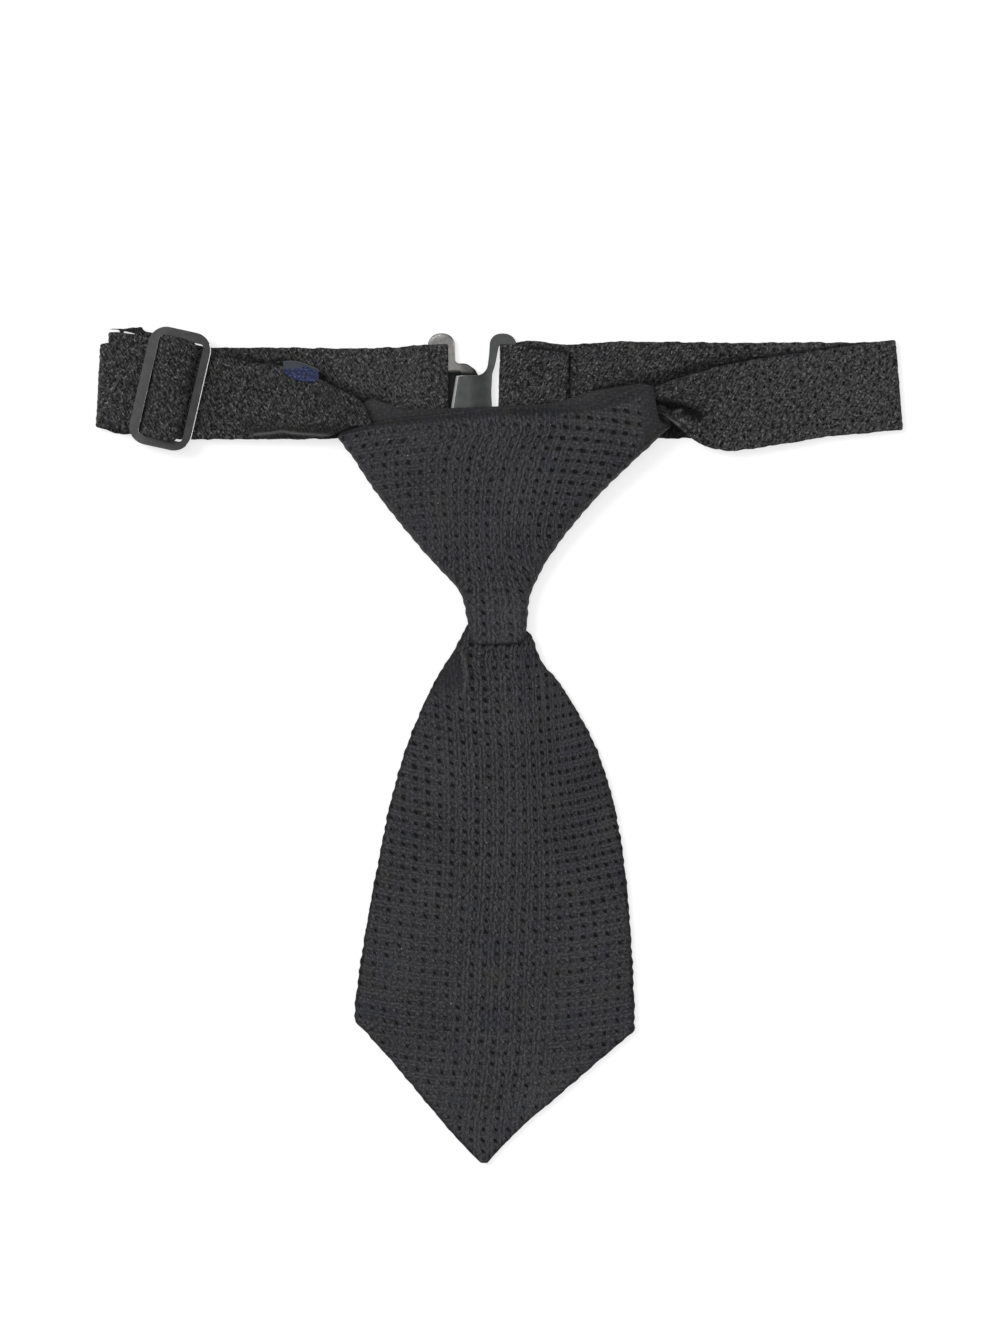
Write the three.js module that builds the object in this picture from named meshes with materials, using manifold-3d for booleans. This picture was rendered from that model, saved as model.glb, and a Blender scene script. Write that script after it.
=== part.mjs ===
// A small pre-tied necktie in black woven silk, lying flat with its knot up.
// Millimetres, +Z up from the surface it lies on, +Y towards the neck band, +X to the wearer's left.
// The origin is on the surface, below the middle of the whole.
import * as THREE from 'three';
import Module from 'manifold-3d';

const wasm = await Module();
wasm.setup();

// Driving dimensions

const BAND_WIDTH = 20.3; // neck band, across the cloth
const CLOTH = 1.0; // thickness of the band's cloth, and of the knot's back
const FACE_CLOTH = 1.2; // thickness of the knot's and the blade's face cloth
const GAP = 0.3; // clearance between two pieces that touch
const REACH = 89.4; // from the middle to the outside of each end fold of the band
const CLASP_Y = 78.5; // height of the clasp's middle above the origin
const SLIDER = { x: -72.9, y: 79.1, width: 14, height: 26.2, bar: 2.2, thick: 1.2, tilt: -12.3 };

// Levels above the surface, for the middle of each layer of cloth in the folded band
const REAR = CLOTH / 2;
const REAR_INNER = REAR + CLOTH + GAP;
const FRONT_INNER = REAR_INNER + CLOTH + GAP;
const FRONT = FRONT_INNER + CLOTH + GAP;
const SLIDER_BASE = FRONT + CLOTH / 2 + GAP;

// The clasp's plates lie halfway between the two layers of the band that wrap them
const PLATE = 0.7;
const WRAP_GAP = 0.35;
const WRAP_RADIUS = PLATE / 2 + WRAP_GAP + CLOTH / 2;
const PLATE_LEVEL = REAR + WRAP_RADIUS;

const SILK = new THREE.MeshStandardMaterial({ color: 0x35353a, roughness: 0.85, metalness: 0 });
const BAND_SILK = new THREE.MeshStandardMaterial({ color: 0x39393a, roughness: 0.9, metalness: 0 });
const BLACK_PAINT = new THREE.MeshStandardMaterial({ color: 0x2c2e30, roughness: 0.5, metalness: 0.3 });
const GUNMETAL = new THREE.MeshStandardMaterial({ color: 0x4a4c4e, roughness: 0.4, metalness: 0.9 });
const LABEL_BLUE = new THREE.MeshStandardMaterial({ color: 0x2d3560, roughness: 0.9, metalness: 0 });

// Segments of the rounded shapes
const CURVE = 6; // in each quarter turn of the slider, clasp and label
const ACROSS = 12; // across the flat of a sleeve of cloth
const FOLD_STEPS = 8; // round each fold of the band

// Mesh helpers

/** Turns points and triangles into a geometry whose faces point outwards. */
function geometryOf(points, faces) {
  let volume = 0;
  for (const [a, b, c] of faces) {
    volume += points[a].dot(new THREE.Vector3().crossVectors(points[b], points[c])) / 6;
  }
  const index = volume > 0 ? faces : faces.map(([a, b, c]) => [a, c, b]);
  const geometry = new THREE.BufferGeometry();
  geometry.setAttribute('position', new THREE.Float32BufferAttribute(points.flatMap((p) => p.toArray()), 3));
  geometry.setIndex(index.flat());
  return geometry;
}

/** Skins a row of equal rings, and closes both ends with a fan. */
function loft(rings) {
  const size = rings[0].length;
  const points = rings.flat();
  const faces = [];
  for (let r = 0; r + 1 < rings.length; r += 1) {
    for (let k = 0; k < size; k += 1) {
      const next = (k + 1) % size;
      const [a, b, c, d] = [r * size + k, r * size + next, (r + 1) * size + next, (r + 1) * size + k];
      faces.push([a, b, c], [a, c, d]);
    }
  }
  for (const [first, flip] of [[0, true], [(rings.length - 1) * size, false]]) {
    const middle = new THREE.Vector3();
    for (let k = 0; k < size; k += 1) middle.addScaledVector(points[first + k], 1 / size);
    points.push(middle);
    for (let k = 0; k < size; k += 1) {
      const [a, b] = [first + k, first + ((k + 1) % size)];
      faces.push(flip ? [points.length - 1, b, a] : [points.length - 1, a, b]);
    }
  }
  return geometryOf(points, faces);
}

/** Skins a hollow tube of cloth: outer rings, inner rings, and the wall's edge at both open ends. */
function tube(outer, inner) {
  const size = outer[0].length;
  const rows = outer.length;
  const points = [...outer.flat(), ...inner.flat()];
  const faces = [];
  const at = (side, row, k) => side * rows * size + row * size + (k % size);
  for (let r = 0; r + 1 < rows; r += 1) {
    for (let k = 0; k < size; k += 1) {
      faces.push([at(0, r, k), at(0, r, k + 1), at(0, r + 1, k + 1)]);
      faces.push([at(0, r, k), at(0, r + 1, k + 1), at(0, r + 1, k)]);
      faces.push([at(1, r, k), at(1, r + 1, k + 1), at(1, r, k + 1)]);
      faces.push([at(1, r, k), at(1, r + 1, k), at(1, r + 1, k + 1)]);
    }
  }
  for (let k = 0; k < size; k += 1) {
    faces.push([at(1, 0, k), at(1, 0, k + 1), at(0, 0, k + 1)], [at(1, 0, k), at(0, 0, k + 1), at(0, 0, k)]);
    const last = rows - 1;
    faces.push([at(0, last, k), at(0, last, k + 1), at(1, last, k + 1)]);
    faces.push([at(0, last, k), at(1, last, k + 1), at(1, last, k)]);
  }
  return geometryOf(points, faces);
}

/** Makes a manifold solid of a geometry, for joining and cutting. */
function solidOf(geometry) {
  const source = geometry.index ? geometry.toNonIndexed() : geometry;
  const positions = source.getAttribute('position');
  const places = new Map();
  const vertices = [];
  const corners = [];
  for (let i = 0; i < positions.count; i += 1) {
    const corner = [positions.getX(i), positions.getY(i), positions.getZ(i)];
    const key = corner.map((value) => value.toFixed(4)).join();
    if (!places.has(key)) {
      places.set(key, places.size);
      vertices.push(...corner);
    }
    corners.push(places.get(key));
  }
  const triangles = [];
  for (let i = 0; i < corners.length; i += 3) {
    const [a, b, c] = corners.slice(i, i + 3);
    if (a !== b && b !== c && c !== a) triangles.push(a, b, c);
  }
  const mesh = new wasm.Mesh({
    numProp: 3,
    vertProperties: new Float32Array(vertices),
    triVerts: new Uint32Array(triangles),
  });
  return new wasm.Manifold(mesh);
}

/** Gives a manifold solid back as a geometry. */
function geometryOfSolid(solid) {
  const mesh = solid.getMesh();
  const geometry = new THREE.BufferGeometry();
  geometry.setAttribute('position', new THREE.BufferAttribute(new Float32Array(mesh.vertProperties), 3));
  geometry.setIndex(Array.from(mesh.triVerts));
  return geometry;
}

/** Value of a table's column at a place along its key column, on straight lines between rows. */
function along(table, key, place, column) {
  if (place <= table[0][key]) return table[0][column];
  for (let i = 1; i < table.length; i += 1) {
    if (place <= table[i][key]) {
      const share = (place - table[i - 1][key]) / (table[i][key] - table[i - 1][key]);
      return THREE.MathUtils.lerp(table[i - 1][column], table[i][column], share);
    }
  }
  return table[table.length - 1][column];
}

// Flat cloth sections

/**
 * Section of a flattened sleeve: its points go across the front from left to right and back behind.
 * Each has its place across, from -1 to 1, its side, 1 in front and -1 behind, and its share of height.
 */
function sleeveSection(halfWidth, edge, across, rounding) {
  const flat = Math.max(halfWidth - edge, 0) / halfWidth;
  const side = [];
  for (let i = 1; i < rounding; i += 1) {
    const angle = (Math.PI / 2) * (i / rounding);
    side.push({ across: -flat - (1 - flat) * Math.cos(angle), height: Math.sin(angle) });
  }
  for (let i = 0; i <= across; i += 1) side.push({ across: flat * (-1 + (2 * i) / across), height: 1 });
  for (let i = rounding - 1; i > 0; i -= 1) {
    const angle = (Math.PI / 2) * (i / rounding);
    side.push({ across: flat + (1 - flat) * Math.cos(angle), height: Math.sin(angle) });
  }
  const front = side.map((p) => ({ ...p, side: 1 }));
  const back = side.map((p) => ({ ...p, side: -1 })).reverse();
  return [{ across: -1, height: 0, side: 1 }, ...front, { across: 1, height: 0, side: 1 }, ...back];
}

// Blade

// Rows run across the blade, from inside the knot down to the corners above the point.
// x and y of its left and right edge, the level of its back and front, and the depth of its gathers.
const BLADE_ROWS = [
  { leftX: -3.9, leftY: 32.0, rightX: 3.7, rightY: 32.0, back: 1.35, front: 4.6, gather: 0.0 },
  { leftX: -4.0, leftY: 27.0, rightX: 3.7, rightY: 27.6, back: 1.35, front: 4.6, gather: 0.0 },
  { leftX: -4.1, leftY: 23.3, rightX: 3.9, rightY: 24.2, back: 1.3, front: 4.4, gather: 0.0 },
  { leftX: -8.8, leftY: 21.7, rightX: 7.9, rightY: 22.0, back: 0.8, front: 4.4, gather: 0.1 },
  { leftX: -9.9, leftY: 20.6, rightX: 8.4, rightY: 20.6, back: 0.4, front: 4.5, gather: 0.35 },
  { leftX: -11.6, leftY: 17.6, rightX: 9.9, rightY: 17.9, back: 0.1, front: 4.4, gather: 0.5 },
  { leftX: -13.6, leftY: 14.2, rightX: 11.8, rightY: 14.8, back: 0.0, front: 4.1, gather: 0.45 },
  { leftX: -17.0, leftY: 7.8, rightX: 16.1, rightY: 8.6, back: 0.0, front: 3.8, gather: 0.3 },
  { leftX: -20.6, leftY: -1.6, rightX: 20.9, rightY: -0.6, back: 0.0, front: 3.5, gather: 0.12 },
  { leftX: -23.9, leftY: -13.9, rightX: 24.9, rightY: -13.2, back: 0.0, front: 3.3, gather: 0.0 },
  { leftX: -27.2, leftY: -27.1, rightX: 27.4, rightY: -27.0, back: 0.0, front: 3.2, gather: 0.0 },
  { leftX: -29.9, leftY: -43.0, rightX: 29.2, rightY: -43.5, back: 0.0, front: 3.2, gather: 0.0 },
  { leftX: -32.0, leftY: -58.3, rightX: 30.0, rightY: -60.0, back: 0.0, front: 3.2, gather: 0.0 },
  { leftX: -32.2, leftY: -61.0, rightX: 30.1, rightY: -63.4, back: 0.0, front: 3.2, gather: 0.0 },
];
const BLADE_TIP = { x: -3.0, y: -92.9, back: 0.0, front: 2.6 };
const BLADE_EDGE = 1.8; // how far in the folded edge takes to reach the full thickness
const TIP_ROWS = [0.25, 0.5, 0.75, 0.93]; // shares of the way from the corners to the tip
const TIP_BULGE = 0.6; // how far the sides of the point bow outwards
const TIP_WIDTH = 1.0; // of the point's blunt end
const BLADE_ROUNDING = 4; // segments of each quarter of its folded edges
const HOLLOW_INSET = 2.4; // from the folded edge to the hollow between face and flaps
const HOLLOW_FIRST_ROW = 3;
const HOLLOW_LAST_ROW = -2; // counted from the tip
const SEAM = { x: -0.6, width: 0.5, depth: 1.8, topRow: 6, aboveTip: 16.0 }; // slit between its back flaps

/** Rows of the blade, with those that run down to its tip. */
function bladeRows() {
  const corner = BLADE_ROWS[BLADE_ROWS.length - 1];
  const towards = (from, to, share) => THREE.MathUtils.lerp(from, to, share);
  const tip = TIP_ROWS.map((share) => {
    const bow = TIP_BULGE * Math.sin(Math.PI * share);
    return {
      leftX: towards(corner.leftX, BLADE_TIP.x, share) - bow,
      leftY: towards(corner.leftY, BLADE_TIP.y, share),
      rightX: towards(corner.rightX, BLADE_TIP.x, share) + bow,
      rightY: towards(corner.rightY, BLADE_TIP.y, share),
      back: towards(corner.back, BLADE_TIP.back, share),
      front: towards(corner.front, BLADE_TIP.front, share),
      gather: 0,
    };
  });
  const end = {
    leftX: BLADE_TIP.x - TIP_WIDTH / 2,
    leftY: BLADE_TIP.y,
    rightX: BLADE_TIP.x + TIP_WIDTH / 2,
    rightY: BLADE_TIP.y,
    back: BLADE_TIP.back,
    front: BLADE_TIP.front,
    gather: 0,
  };
  return [...BLADE_ROWS, ...tip, end];
}

/** One ring of the blade, brought in from its edges by inset and from its two faces by wall. */
function bladeRing(row, inset, wall) {
  const left = new THREE.Vector3(row.leftX, row.leftY, 0);
  const right = new THREE.Vector3(row.rightX, row.rightY, 0);
  const halfWidth = left.distanceTo(right) / 2;
  const keep = (halfWidth - inset) / halfWidth;
  const edge = Math.min(BLADE_EDGE, halfWidth);
  const back = row.back + wall;
  const front = row.front - wall;
  const middle = (back + front) / 2;
  return sleeveSection(halfWidth * keep, edge * keep, ACROSS, BLADE_ROUNDING).map((p) => {
    const spot = left.clone().lerp(right, (p.across * keep + 1) / 2);
    const fold = p.side > 0 ? row.gather * Math.cos(3 * Math.PI * p.across) : 0;
    const reach = p.side > 0 ? front - middle + fold : back - middle;
    spot.z = middle + reach * p.height;
    return spot;
  });
}

/** The blade: a folded sleeve of cloth, open along the seam at the centre of its back. */
function bladeGeometry() {
  const rows = bladeRows();
  const body = solidOf(loft(rows.map((row) => bladeRing(row, 0, 0))));
  const inside = rows.slice(HOLLOW_FIRST_ROW, HOLLOW_LAST_ROW);
  const hollow = solidOf(loft(inside.map((row) => bladeRing(row, HOLLOW_INSET, FACE_CLOTH))));
  const top = BLADE_ROWS[SEAM.topRow].leftY;
  const length = top - BLADE_TIP.y - SEAM.aboveTip;
  const slit = new THREE.BoxGeometry(SEAM.width, length, 2 * SEAM.depth);
  slit.translate(SEAM.x, top - length / 2, 0);
  return geometryOfSolid(body.subtract(hollow).subtract(solidOf(slit)));
}

// Knot

// Rows run across the knot, from its lower mouth up to its two upper corners.
// x and y of its left and right edge, how far its face and back reach past that line in the middle,
// the levels of its back, its side edges and its face, and the width of its side folds.
const KNOT_ROWS = [
  {
    leftX: -6.6, leftY: 23.6, rightX: 6.0, rightY: 25.2,
    faceDrop: 2.1, backDrop: -2.0, back: 0.0, edge: 2.9, face: 6.1, fold: 2.2,
  },
  {
    leftX: -6.8, leftY: 26.6, rightX: 5.9, rightY: 27.4,
    faceDrop: 0.8, backDrop: -0.6, back: 0.0, edge: 2.9, face: 6.3, fold: 2.2,
  },
  {
    leftX: -7.5, leftY: 30.2, rightX: 6.1, rightY: 30.2,
    faceDrop: 0.2, backDrop: 0.0, back: 0.0, edge: 3.0, face: 6.5, fold: 2.4,
  },
  {
    leftX: -8.5, leftY: 33.6, rightX: 6.7, rightY: 33.5,
    faceDrop: 0.0, backDrop: 0.0, back: 0.0, edge: 3.0, face: 6.7, fold: 2.7,
  },
  {
    leftX: -9.8, leftY: 36.2, rightX: 7.5, rightY: 35.9,
    faceDrop: 0.0, backDrop: 0.0, back: 0.0, edge: 3.0, face: 6.8, fold: 3.0,
  },
  {
    leftX: -13.4, leftY: 39.8, rightX: 9.2, rightY: 39.8,
    faceDrop: 0.0, backDrop: 0.0, back: 0.1, edge: 3.1, face: 7.1, fold: 3.2,
  },
  {
    leftX: -18.5, leftY: 45.4, rightX: 12.6, rightY: 45.3,
    faceDrop: 0.0, backDrop: 0.0, back: 0.3, edge: 3.3, face: 7.6, fold: 3.2,
  },
  {
    leftX: -23.1, leftY: 51.0, rightX: 17.3, rightY: 51.0,
    faceDrop: 0.0, backDrop: 0.0, back: 0.9, edge: 3.7, face: 8.2, fold: 3.2,
  },
  {
    leftX: -27.1, leftY: 56.5, rightX: 22.8, rightY: 56.6,
    faceDrop: 0.0, backDrop: 0.0, back: 1.9, edge: 4.4, face: 8.7, fold: 3.2,
  },
  {
    leftX: -31.8, leftY: 64.2, rightX: 31.2, rightY: 64.2,
    faceDrop: 0.0, backDrop: 0.0, back: 3.5, edge: 5.3, face: 9.1, fold: 2.8,
  },
  {
    leftX: -35.9, leftY: 68.1, rightX: 38.1, rightY: 70.6,
    faceDrop: 0.0, backDrop: 0.0, back: 3.8, edge: 5.6, face: 8.9, fold: 2.0,
  },
];
// Upper rim of the face and of the back, by place across. level is the height of the face's outside there.
const FACE_RIM = [
  { across: -1.0, x: -35.7, y: 68.5, level: 6.7 },
  { across: -0.78, x: -27.7, y: 71.0, level: 7.9 },
  { across: -0.55, x: -19.0, y: 72.6, level: 7.4 },
  { across: -0.4, x: -14.8, y: 73.2, level: 7.0 },
  { across: -0.18, x: -6.6, y: 74.6, level: 6.6 },
  { across: 0.0, x: 0.1, y: 75.3, level: 6.5 },
  { across: 0.22, x: 9.0, y: 75.4, level: 6.5 },
  { across: 0.42, x: 16.3, y: 75.0, level: 6.8 },
  { across: 0.57, x: 21.9, y: 75.6, level: 7.2 },
  { across: 0.7, x: 26.6, y: 77.0, level: 7.8 },
  { across: 0.88, x: 33.4, y: 78.4, level: 7.9 },
  { across: 0.96, x: 36.2, y: 74.4, level: 7.8 },
  { across: 1.0, x: 37.9, y: 71.2, level: 6.6 },
];
const BACK_RIM = [
  { across: -1.0, x: -35.7, y: 68.7 },
  { across: -0.9, x: -32.6, y: 73.6 },
  { across: -0.78, x: -28.6, y: 76.4 },
  { across: -0.6, x: -21.8, y: 75.4 },
  { across: -0.3, x: -10.8, y: 75.1 },
  { across: 0.0, x: 0.1, y: 75.6 },
  { across: 0.22, x: 9.0, y: 75.9 },
  { across: 0.4, x: 15.2, y: 76.8 },
  { across: 0.52, x: 19.6, y: 77.9 },
  { across: 0.82, x: 30.4, y: 79.3 },
  { across: 0.92, x: 34.6, y: 79.8 },
  { across: 0.97, x: 36.6, y: 76.0 },
  { across: 1.0, x: 38.0, y: 71.3 },
];
const RIM_ROWS = [0.4, 0.7, 0.9, 1.0]; // shares of the way from the corners' row to the rim
const KNOT_ROUNDING = 5; // segments of each quarter of its side folds
const KNOT_INSET = 1.5; // from its side folds to the hollow

/** One ring of the knot below its corners. Inside, it is brought in by the wall. */
function knotRing(row, isInside) {
  const inset = isInside ? KNOT_INSET : 0;
  const left = new THREE.Vector3(row.leftX + inset, row.leftY, 0);
  const right = new THREE.Vector3(row.rightX - inset, row.rightY, 0);
  const halfWidth = left.distanceTo(right) / 2;
  const face = row.face - (isInside ? FACE_CLOTH : 0);
  const back = row.back + (isInside ? CLOTH : 0);
  return sleeveSection(halfWidth, row.fold, ACROSS, KNOT_ROUNDING).map((p) => {
    const spot = left.clone().lerp(right, (p.across + 1) / 2);
    const drop = p.side > 0 ? row.faceDrop : row.backDrop;
    spot.y -= drop * (1 - p.across ** 2);
    spot.z = row.edge + (p.side > 0 ? face - row.edge : back - row.edge) * p.height;
    return spot;
  });
}

/** One ring of the knot between its corners and its rim, at a share of the way up. */
function rimRing(share, isInside) {
  const corner = KNOT_ROWS[KNOT_ROWS.length - 1];
  const halfWidth = (corner.rightX - corner.leftX) / 2;
  const section = sleeveSection(halfWidth, corner.fold, ACROSS, KNOT_ROUNDING);
  return knotRing(corner, isInside).map((start, k) => {
    const { across, side, height } = section[k];
    const rim = side > 0 ? FACE_RIM : BACK_RIM;
    const goalX = along(rim, 'across', across, 'x') - (isInside ? KNOT_INSET * across : 0);
    const goalY = along(rim, 'across', across, 'y');
    const spot = new THREE.Vector3(
      THREE.MathUtils.lerp(start.x, goalX, share),
      THREE.MathUtils.lerp(start.y, goalY, share),
      start.z,
    );
    if (side > 0) {
      const level = along(FACE_RIM, 'across', across, 'level') - (isInside ? FACE_CLOTH : 0);
      spot.z = THREE.MathUtils.lerp(start.z, corner.edge + (level - corner.edge) * height, share ** 3);
    }
    return spot;
  });
}

/** The knot: a hollow flattened funnel of cloth, open along its rim and at its lower mouth. */
function knotGeometry() {
  const outer = KNOT_ROWS.map((row) => knotRing(row, false));
  const inner = KNOT_ROWS.map((row) => knotRing(row, true));
  for (const share of RIM_ROWS) {
    outer.push(rimRing(share, false));
    inner.push(rimRing(share, true));
  }
  return tube(outer, inner);
}

// Neck band

// Tables of stations along the band. x and z place the middle of the cloth, top and bottom are the
// heights of its two edges, lean is how far its top edge stands to the right of its bottom edge,
// and thick is its thickness.

const SLIDER_SLOPE = Math.tan(THREE.MathUtils.degToRad(-SLIDER.tilt));
const SLIDER_LEAN = BAND_WIDTH * SLIDER_SLOPE;
const SLIDER_TOP = SLIDER.y + BAND_WIDTH / 2;
const BAR_LEVEL = SLIDER_BASE + SLIDER.thick / 2;
const BAR_WRAP = 1.45; // radius of the cloth sewn round the slider's middle bar

/** Stations round a fold, from one angle to another, in degrees. */
function fold({ x, z, radius }, from, to, edges) {
  return Array.from({ length: FOLD_STEPS + 1 }, (_, i) => {
    const angle = THREE.MathUtils.degToRad(THREE.MathUtils.lerp(from, to, i / FOLD_STEPS));
    return { x: x + radius * Math.cos(angle), z: z + radius * Math.sin(angle), ...edges };
  });
}

/** Stations inside the slider, given across it from its middle bar. The band runs square to the bars. */
function throughSlider(places) {
  return places.map(({ across, z }) => {
    const top = SLIDER_TOP - across * SLIDER_SLOPE;
    return { x: SLIDER.x + across, z, top, bottom: top - BAND_WIDTH, lean: SLIDER_LEAN };
  });
}

// Middle and radius of each fold. The outer left fold leans over by half of LEFT_LEAN at its top edge.
const LEFT_LEAN = 1.0;
const RIGHT_LEAN = -1.6;
const LEFT_RADIUS = (FRONT - REAR) / 2;
const LEFT_FOLD = {
  x: -REACH + (LEFT_LEAN + CLOTH) / 2 + LEFT_RADIUS,
  z: (REAR + FRONT) / 2,
  radius: LEFT_RADIUS,
};
const INNER_FOLD = {
  x: LEFT_FOLD.x + 0.7,
  z: (REAR_INNER + FRONT_INNER) / 2,
  radius: (FRONT_INNER - REAR_INNER) / 2,
};
const EYE_FOLD = { x: -12.9, z: PLATE_LEVEL, radius: WRAP_RADIUS };
const HOOK_FOLD = { x: 1.35, z: PLATE_LEVEL, radius: WRAP_RADIUS };
const RIGHT_RADIUS = 1.0;
const RIGHT_FOLD = {
  x: REACH + (RIGHT_LEAN - CLOTH) / 2 - RIGHT_RADIUS,
  z: REAR + RIGHT_RADIUS,
  radius: RIGHT_RADIUS,
};

const BAR_END = throughSlider([{ across: -1.1, z: BAR_LEVEL + BAR_WRAP }]);
const BAR_FOLD = fold({ x: SLIDER.x + 0.3, z: BAR_LEVEL, radius: BAR_WRAP }, 90, -90, {
  top: SLIDER_TOP - GAP,
  bottom: SLIDER_TOP - GAP - BAND_WIDTH,
  lean: SLIDER_LEAN,
});
const UNDER_BAR = throughSlider([
  { across: -1.9, z: 4.2 },
  { across: -3.6, z: 3.4 },
  { across: -5.0, z: FRONT_INNER },
  { across: -7.5, z: FRONT_INNER },
]);
const INNER_EDGES = { top: 91.9, bottom: 71.6, lean: 2.0 };
const REAR_INNER_RUN = [
  { x: -84.8, z: REAR_INNER, top: 92.2, bottom: 71.9, lean: 1.2 },
  { x: -80.0, z: REAR_INNER, top: 92.5, bottom: 72.2, lean: 0.6 },
  { x: -76.0, z: REAR_INNER, top: 91.4, bottom: 71.1, lean: 0.0 },
  { x: -70.0, z: REAR_INNER, top: 89.4, bottom: 69.1, lean: 0.0 },
  { x: -64.0, z: REAR_INNER, top: 88.4, bottom: 68.1, lean: 0.0 },
  { x: -45.0, z: REAR_INNER, top: 88.4, bottom: 68.1, lean: 0.0 },
  { x: -21.0, z: REAR_INNER, top: 88.4, bottom: 68.1, lean: 0.0 },
  { x: -18.8, z: REAR_INNER + 0.4, top: 88.4, bottom: 68.1, lean: 0.0 },
  { x: -16.6, z: PLATE_LEVEL + WRAP_RADIUS - 0.1, top: 88.4, bottom: 68.1, lean: 0.0 },
];
const EYE_EDGES = { top: 88.4, bottom: 68.1, lean: 0.0 };
const REAR_LEFT_RUN = [
  { x: -20.0, z: REAR, top: 88.4, bottom: 68.1, lean: 0.0 },
  { x: -64.0, z: REAR, top: 88.4, bottom: 68.1, lean: 0.0 },
  { x: -80.0, z: REAR, top: 89.2, bottom: 69.0, lean: 0.5 },
];
const LEFT_EDGES = { top: 89.0, bottom: 70.3, lean: LEFT_LEAN };
const INTO_SLIDER = throughSlider([
  { across: -8.2, z: FRONT },
  { across: -4.5, z: FRONT },
  { across: -3.8, z: 5.3 },
  { across: -3.4, z: 6.6 },
  { across: -2.9, z: 7.7 },
  { across: -1.9, z: 8.45 },
  { across: 0.0, z: 8.6 },
  { across: 1.6, z: 8.45 },
  { across: 2.9, z: 7.6 },
  { across: 3.35, z: 6.3 },
  { across: 3.6, z: 5.0 },
  { across: 4.3, z: 4.15 },
  { across: 5.6, z: 3.9 },
]);
// Front run, from the slider through the knot, where the cloth is gathered narrow, to the right fold
const FRONT_RUN = [
  { x: -63.5, z: 3.85, top: 87.4, bottom: 68.1, lean: 2.5 },
  { x: -60.5, z: 3.95, top: 86.0, bottom: 68.1, lean: 0.8 },
  { x: -54.3, z: 4.4, top: 84.7, bottom: 68.1, lean: 0.0 },
  { x: -48.1, z: 4.8, top: 84.3, bottom: 68.1, lean: 0.0 },
  { x: -43.5, z: 5.1, top: 82.8, bottom: 68.1, lean: 0.0 },
  { x: -39.9, z: 5.4, top: 80.6, bottom: 68.2, lean: 0.0 },
  { x: -36.5, z: 5.6, top: 79.0, bottom: 69.0, lean: 0.0 },
  { x: -34.3, z: 5.6, top: 78.0, bottom: 69.8, lean: 0.0 },
  { x: -31.4, z: 5.55, top: 76.4, bottom: 70.4, lean: 0.0 },
  { x: -29.3, z: 5.5, top: 74.2, bottom: 71.0, lean: 0.0 },
  { x: -27.0, z: 5.6, top: 70.6, bottom: 65.4, lean: 0.0, thick: 1.1 },
  { x: -24.0, z: 6.0, top: 69.8, bottom: 62.6, lean: 0.0, thick: 1.7 },
  { x: -20.0, z: 6.2, top: 69.4, bottom: 61.4, lean: 0.0, thick: 2.0 },
  { x: 0.0, z: 6.3, top: 71.0, bottom: 63.0, lean: 0.0, thick: 2.0 },
  { x: 18.0, z: 6.2, top: 71.0, bottom: 63.0, lean: 0.0, thick: 2.0 },
  { x: 27.0, z: 5.9, top: 73.0, bottom: 67.4, lean: 0.0, thick: 1.5 },
  { x: 31.0, z: 5.6, top: 75.8, bottom: 71.4, lean: 0.0 },
  { x: 34.4, z: 5.6, top: 78.2, bottom: 75.4, lean: 0.0 },
  { x: 37.0, z: 5.6, top: 79.8, bottom: 75.2, lean: 0.0 },
  { x: 39.2, z: 5.3, top: 80.9, bottom: 72.6, lean: 0.0 },
  { x: 42.1, z: 5.1, top: 82.0, bottom: 68.9, lean: 0.0 },
  { x: 46.1, z: 4.8, top: 83.2, bottom: 66.7, lean: 0.0 },
  { x: 50.0, z: 4.5, top: 84.2, bottom: 65.4, lean: 0.0 },
  { x: 57.2, z: 4.0, top: 85.5, bottom: 65.8, lean: -0.4 },
  { x: 67.4, z: 3.4, top: 86.9, bottom: 67.4, lean: -0.8 },
  { x: 77.2, z: 2.8, top: 88.4, bottom: 68.9, lean: -1.2 },
];
const RIGHT_EDGES = { top: 89.4, bottom: 70.1, lean: RIGHT_LEAN };
const REAR_RIGHT_RUN = [
  { x: 80.0, z: REAR, top: 89.2, bottom: 69.2, lean: -0.8 },
  { x: 68.0, z: REAR, top: 88.9, bottom: 68.4, lean: 0.0 },
  { x: 31.0, z: REAR, top: 89.1, bottom: 68.2, lean: 0.0 },
  { x: 14.0, z: REAR, top: 88.7, bottom: 68.2, lean: 0.6 },
];
const HOOK_EDGES = { top: 88.7, bottom: 68.2, lean: 1.3 };
const FLAP = [
  { x: 4.4, z: PLATE_LEVEL + WRAP_RADIUS - 0.1, top: 88.4, bottom: 68.1, lean: 1.2 },
  { x: 7.4, z: REAR_INNER + 0.2, top: 88.0, bottom: 68.1, lean: 0.8 },
  { x: 10.0, z: REAR_INNER, top: 87.7, bottom: 68.1, lean: 0.4 },
  { x: 15.5, z: REAR_INNER, top: 87.4, bottom: 68.1, lean: 0.0 },
];

/** All stations of the band, from the end sewn round the slider's bar to the flap at the hook. */
function bandStations() {
  return [
    ...BAR_END,
    ...BAR_FOLD,
    ...UNDER_BAR,
    ...fold(INNER_FOLD, 90, 270, INNER_EDGES),
    ...REAR_INNER_RUN,
    ...fold(EYE_FOLD, 90, -90, EYE_EDGES),
    ...REAR_LEFT_RUN,
    ...fold(LEFT_FOLD, -90, -270, LEFT_EDGES),
    ...INTO_SLIDER,
    ...FRONT_RUN,
    ...fold(RIGHT_FOLD, 90, -90, RIGHT_EDGES),
    ...REAR_RIGHT_RUN,
    ...fold(HOOK_FOLD, -90, -270, HOOK_EDGES),
    ...FLAP,
  ];
}

const BAND_SOFTNESS = 0.6; // share of half the cloth that its softened edges take

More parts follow.
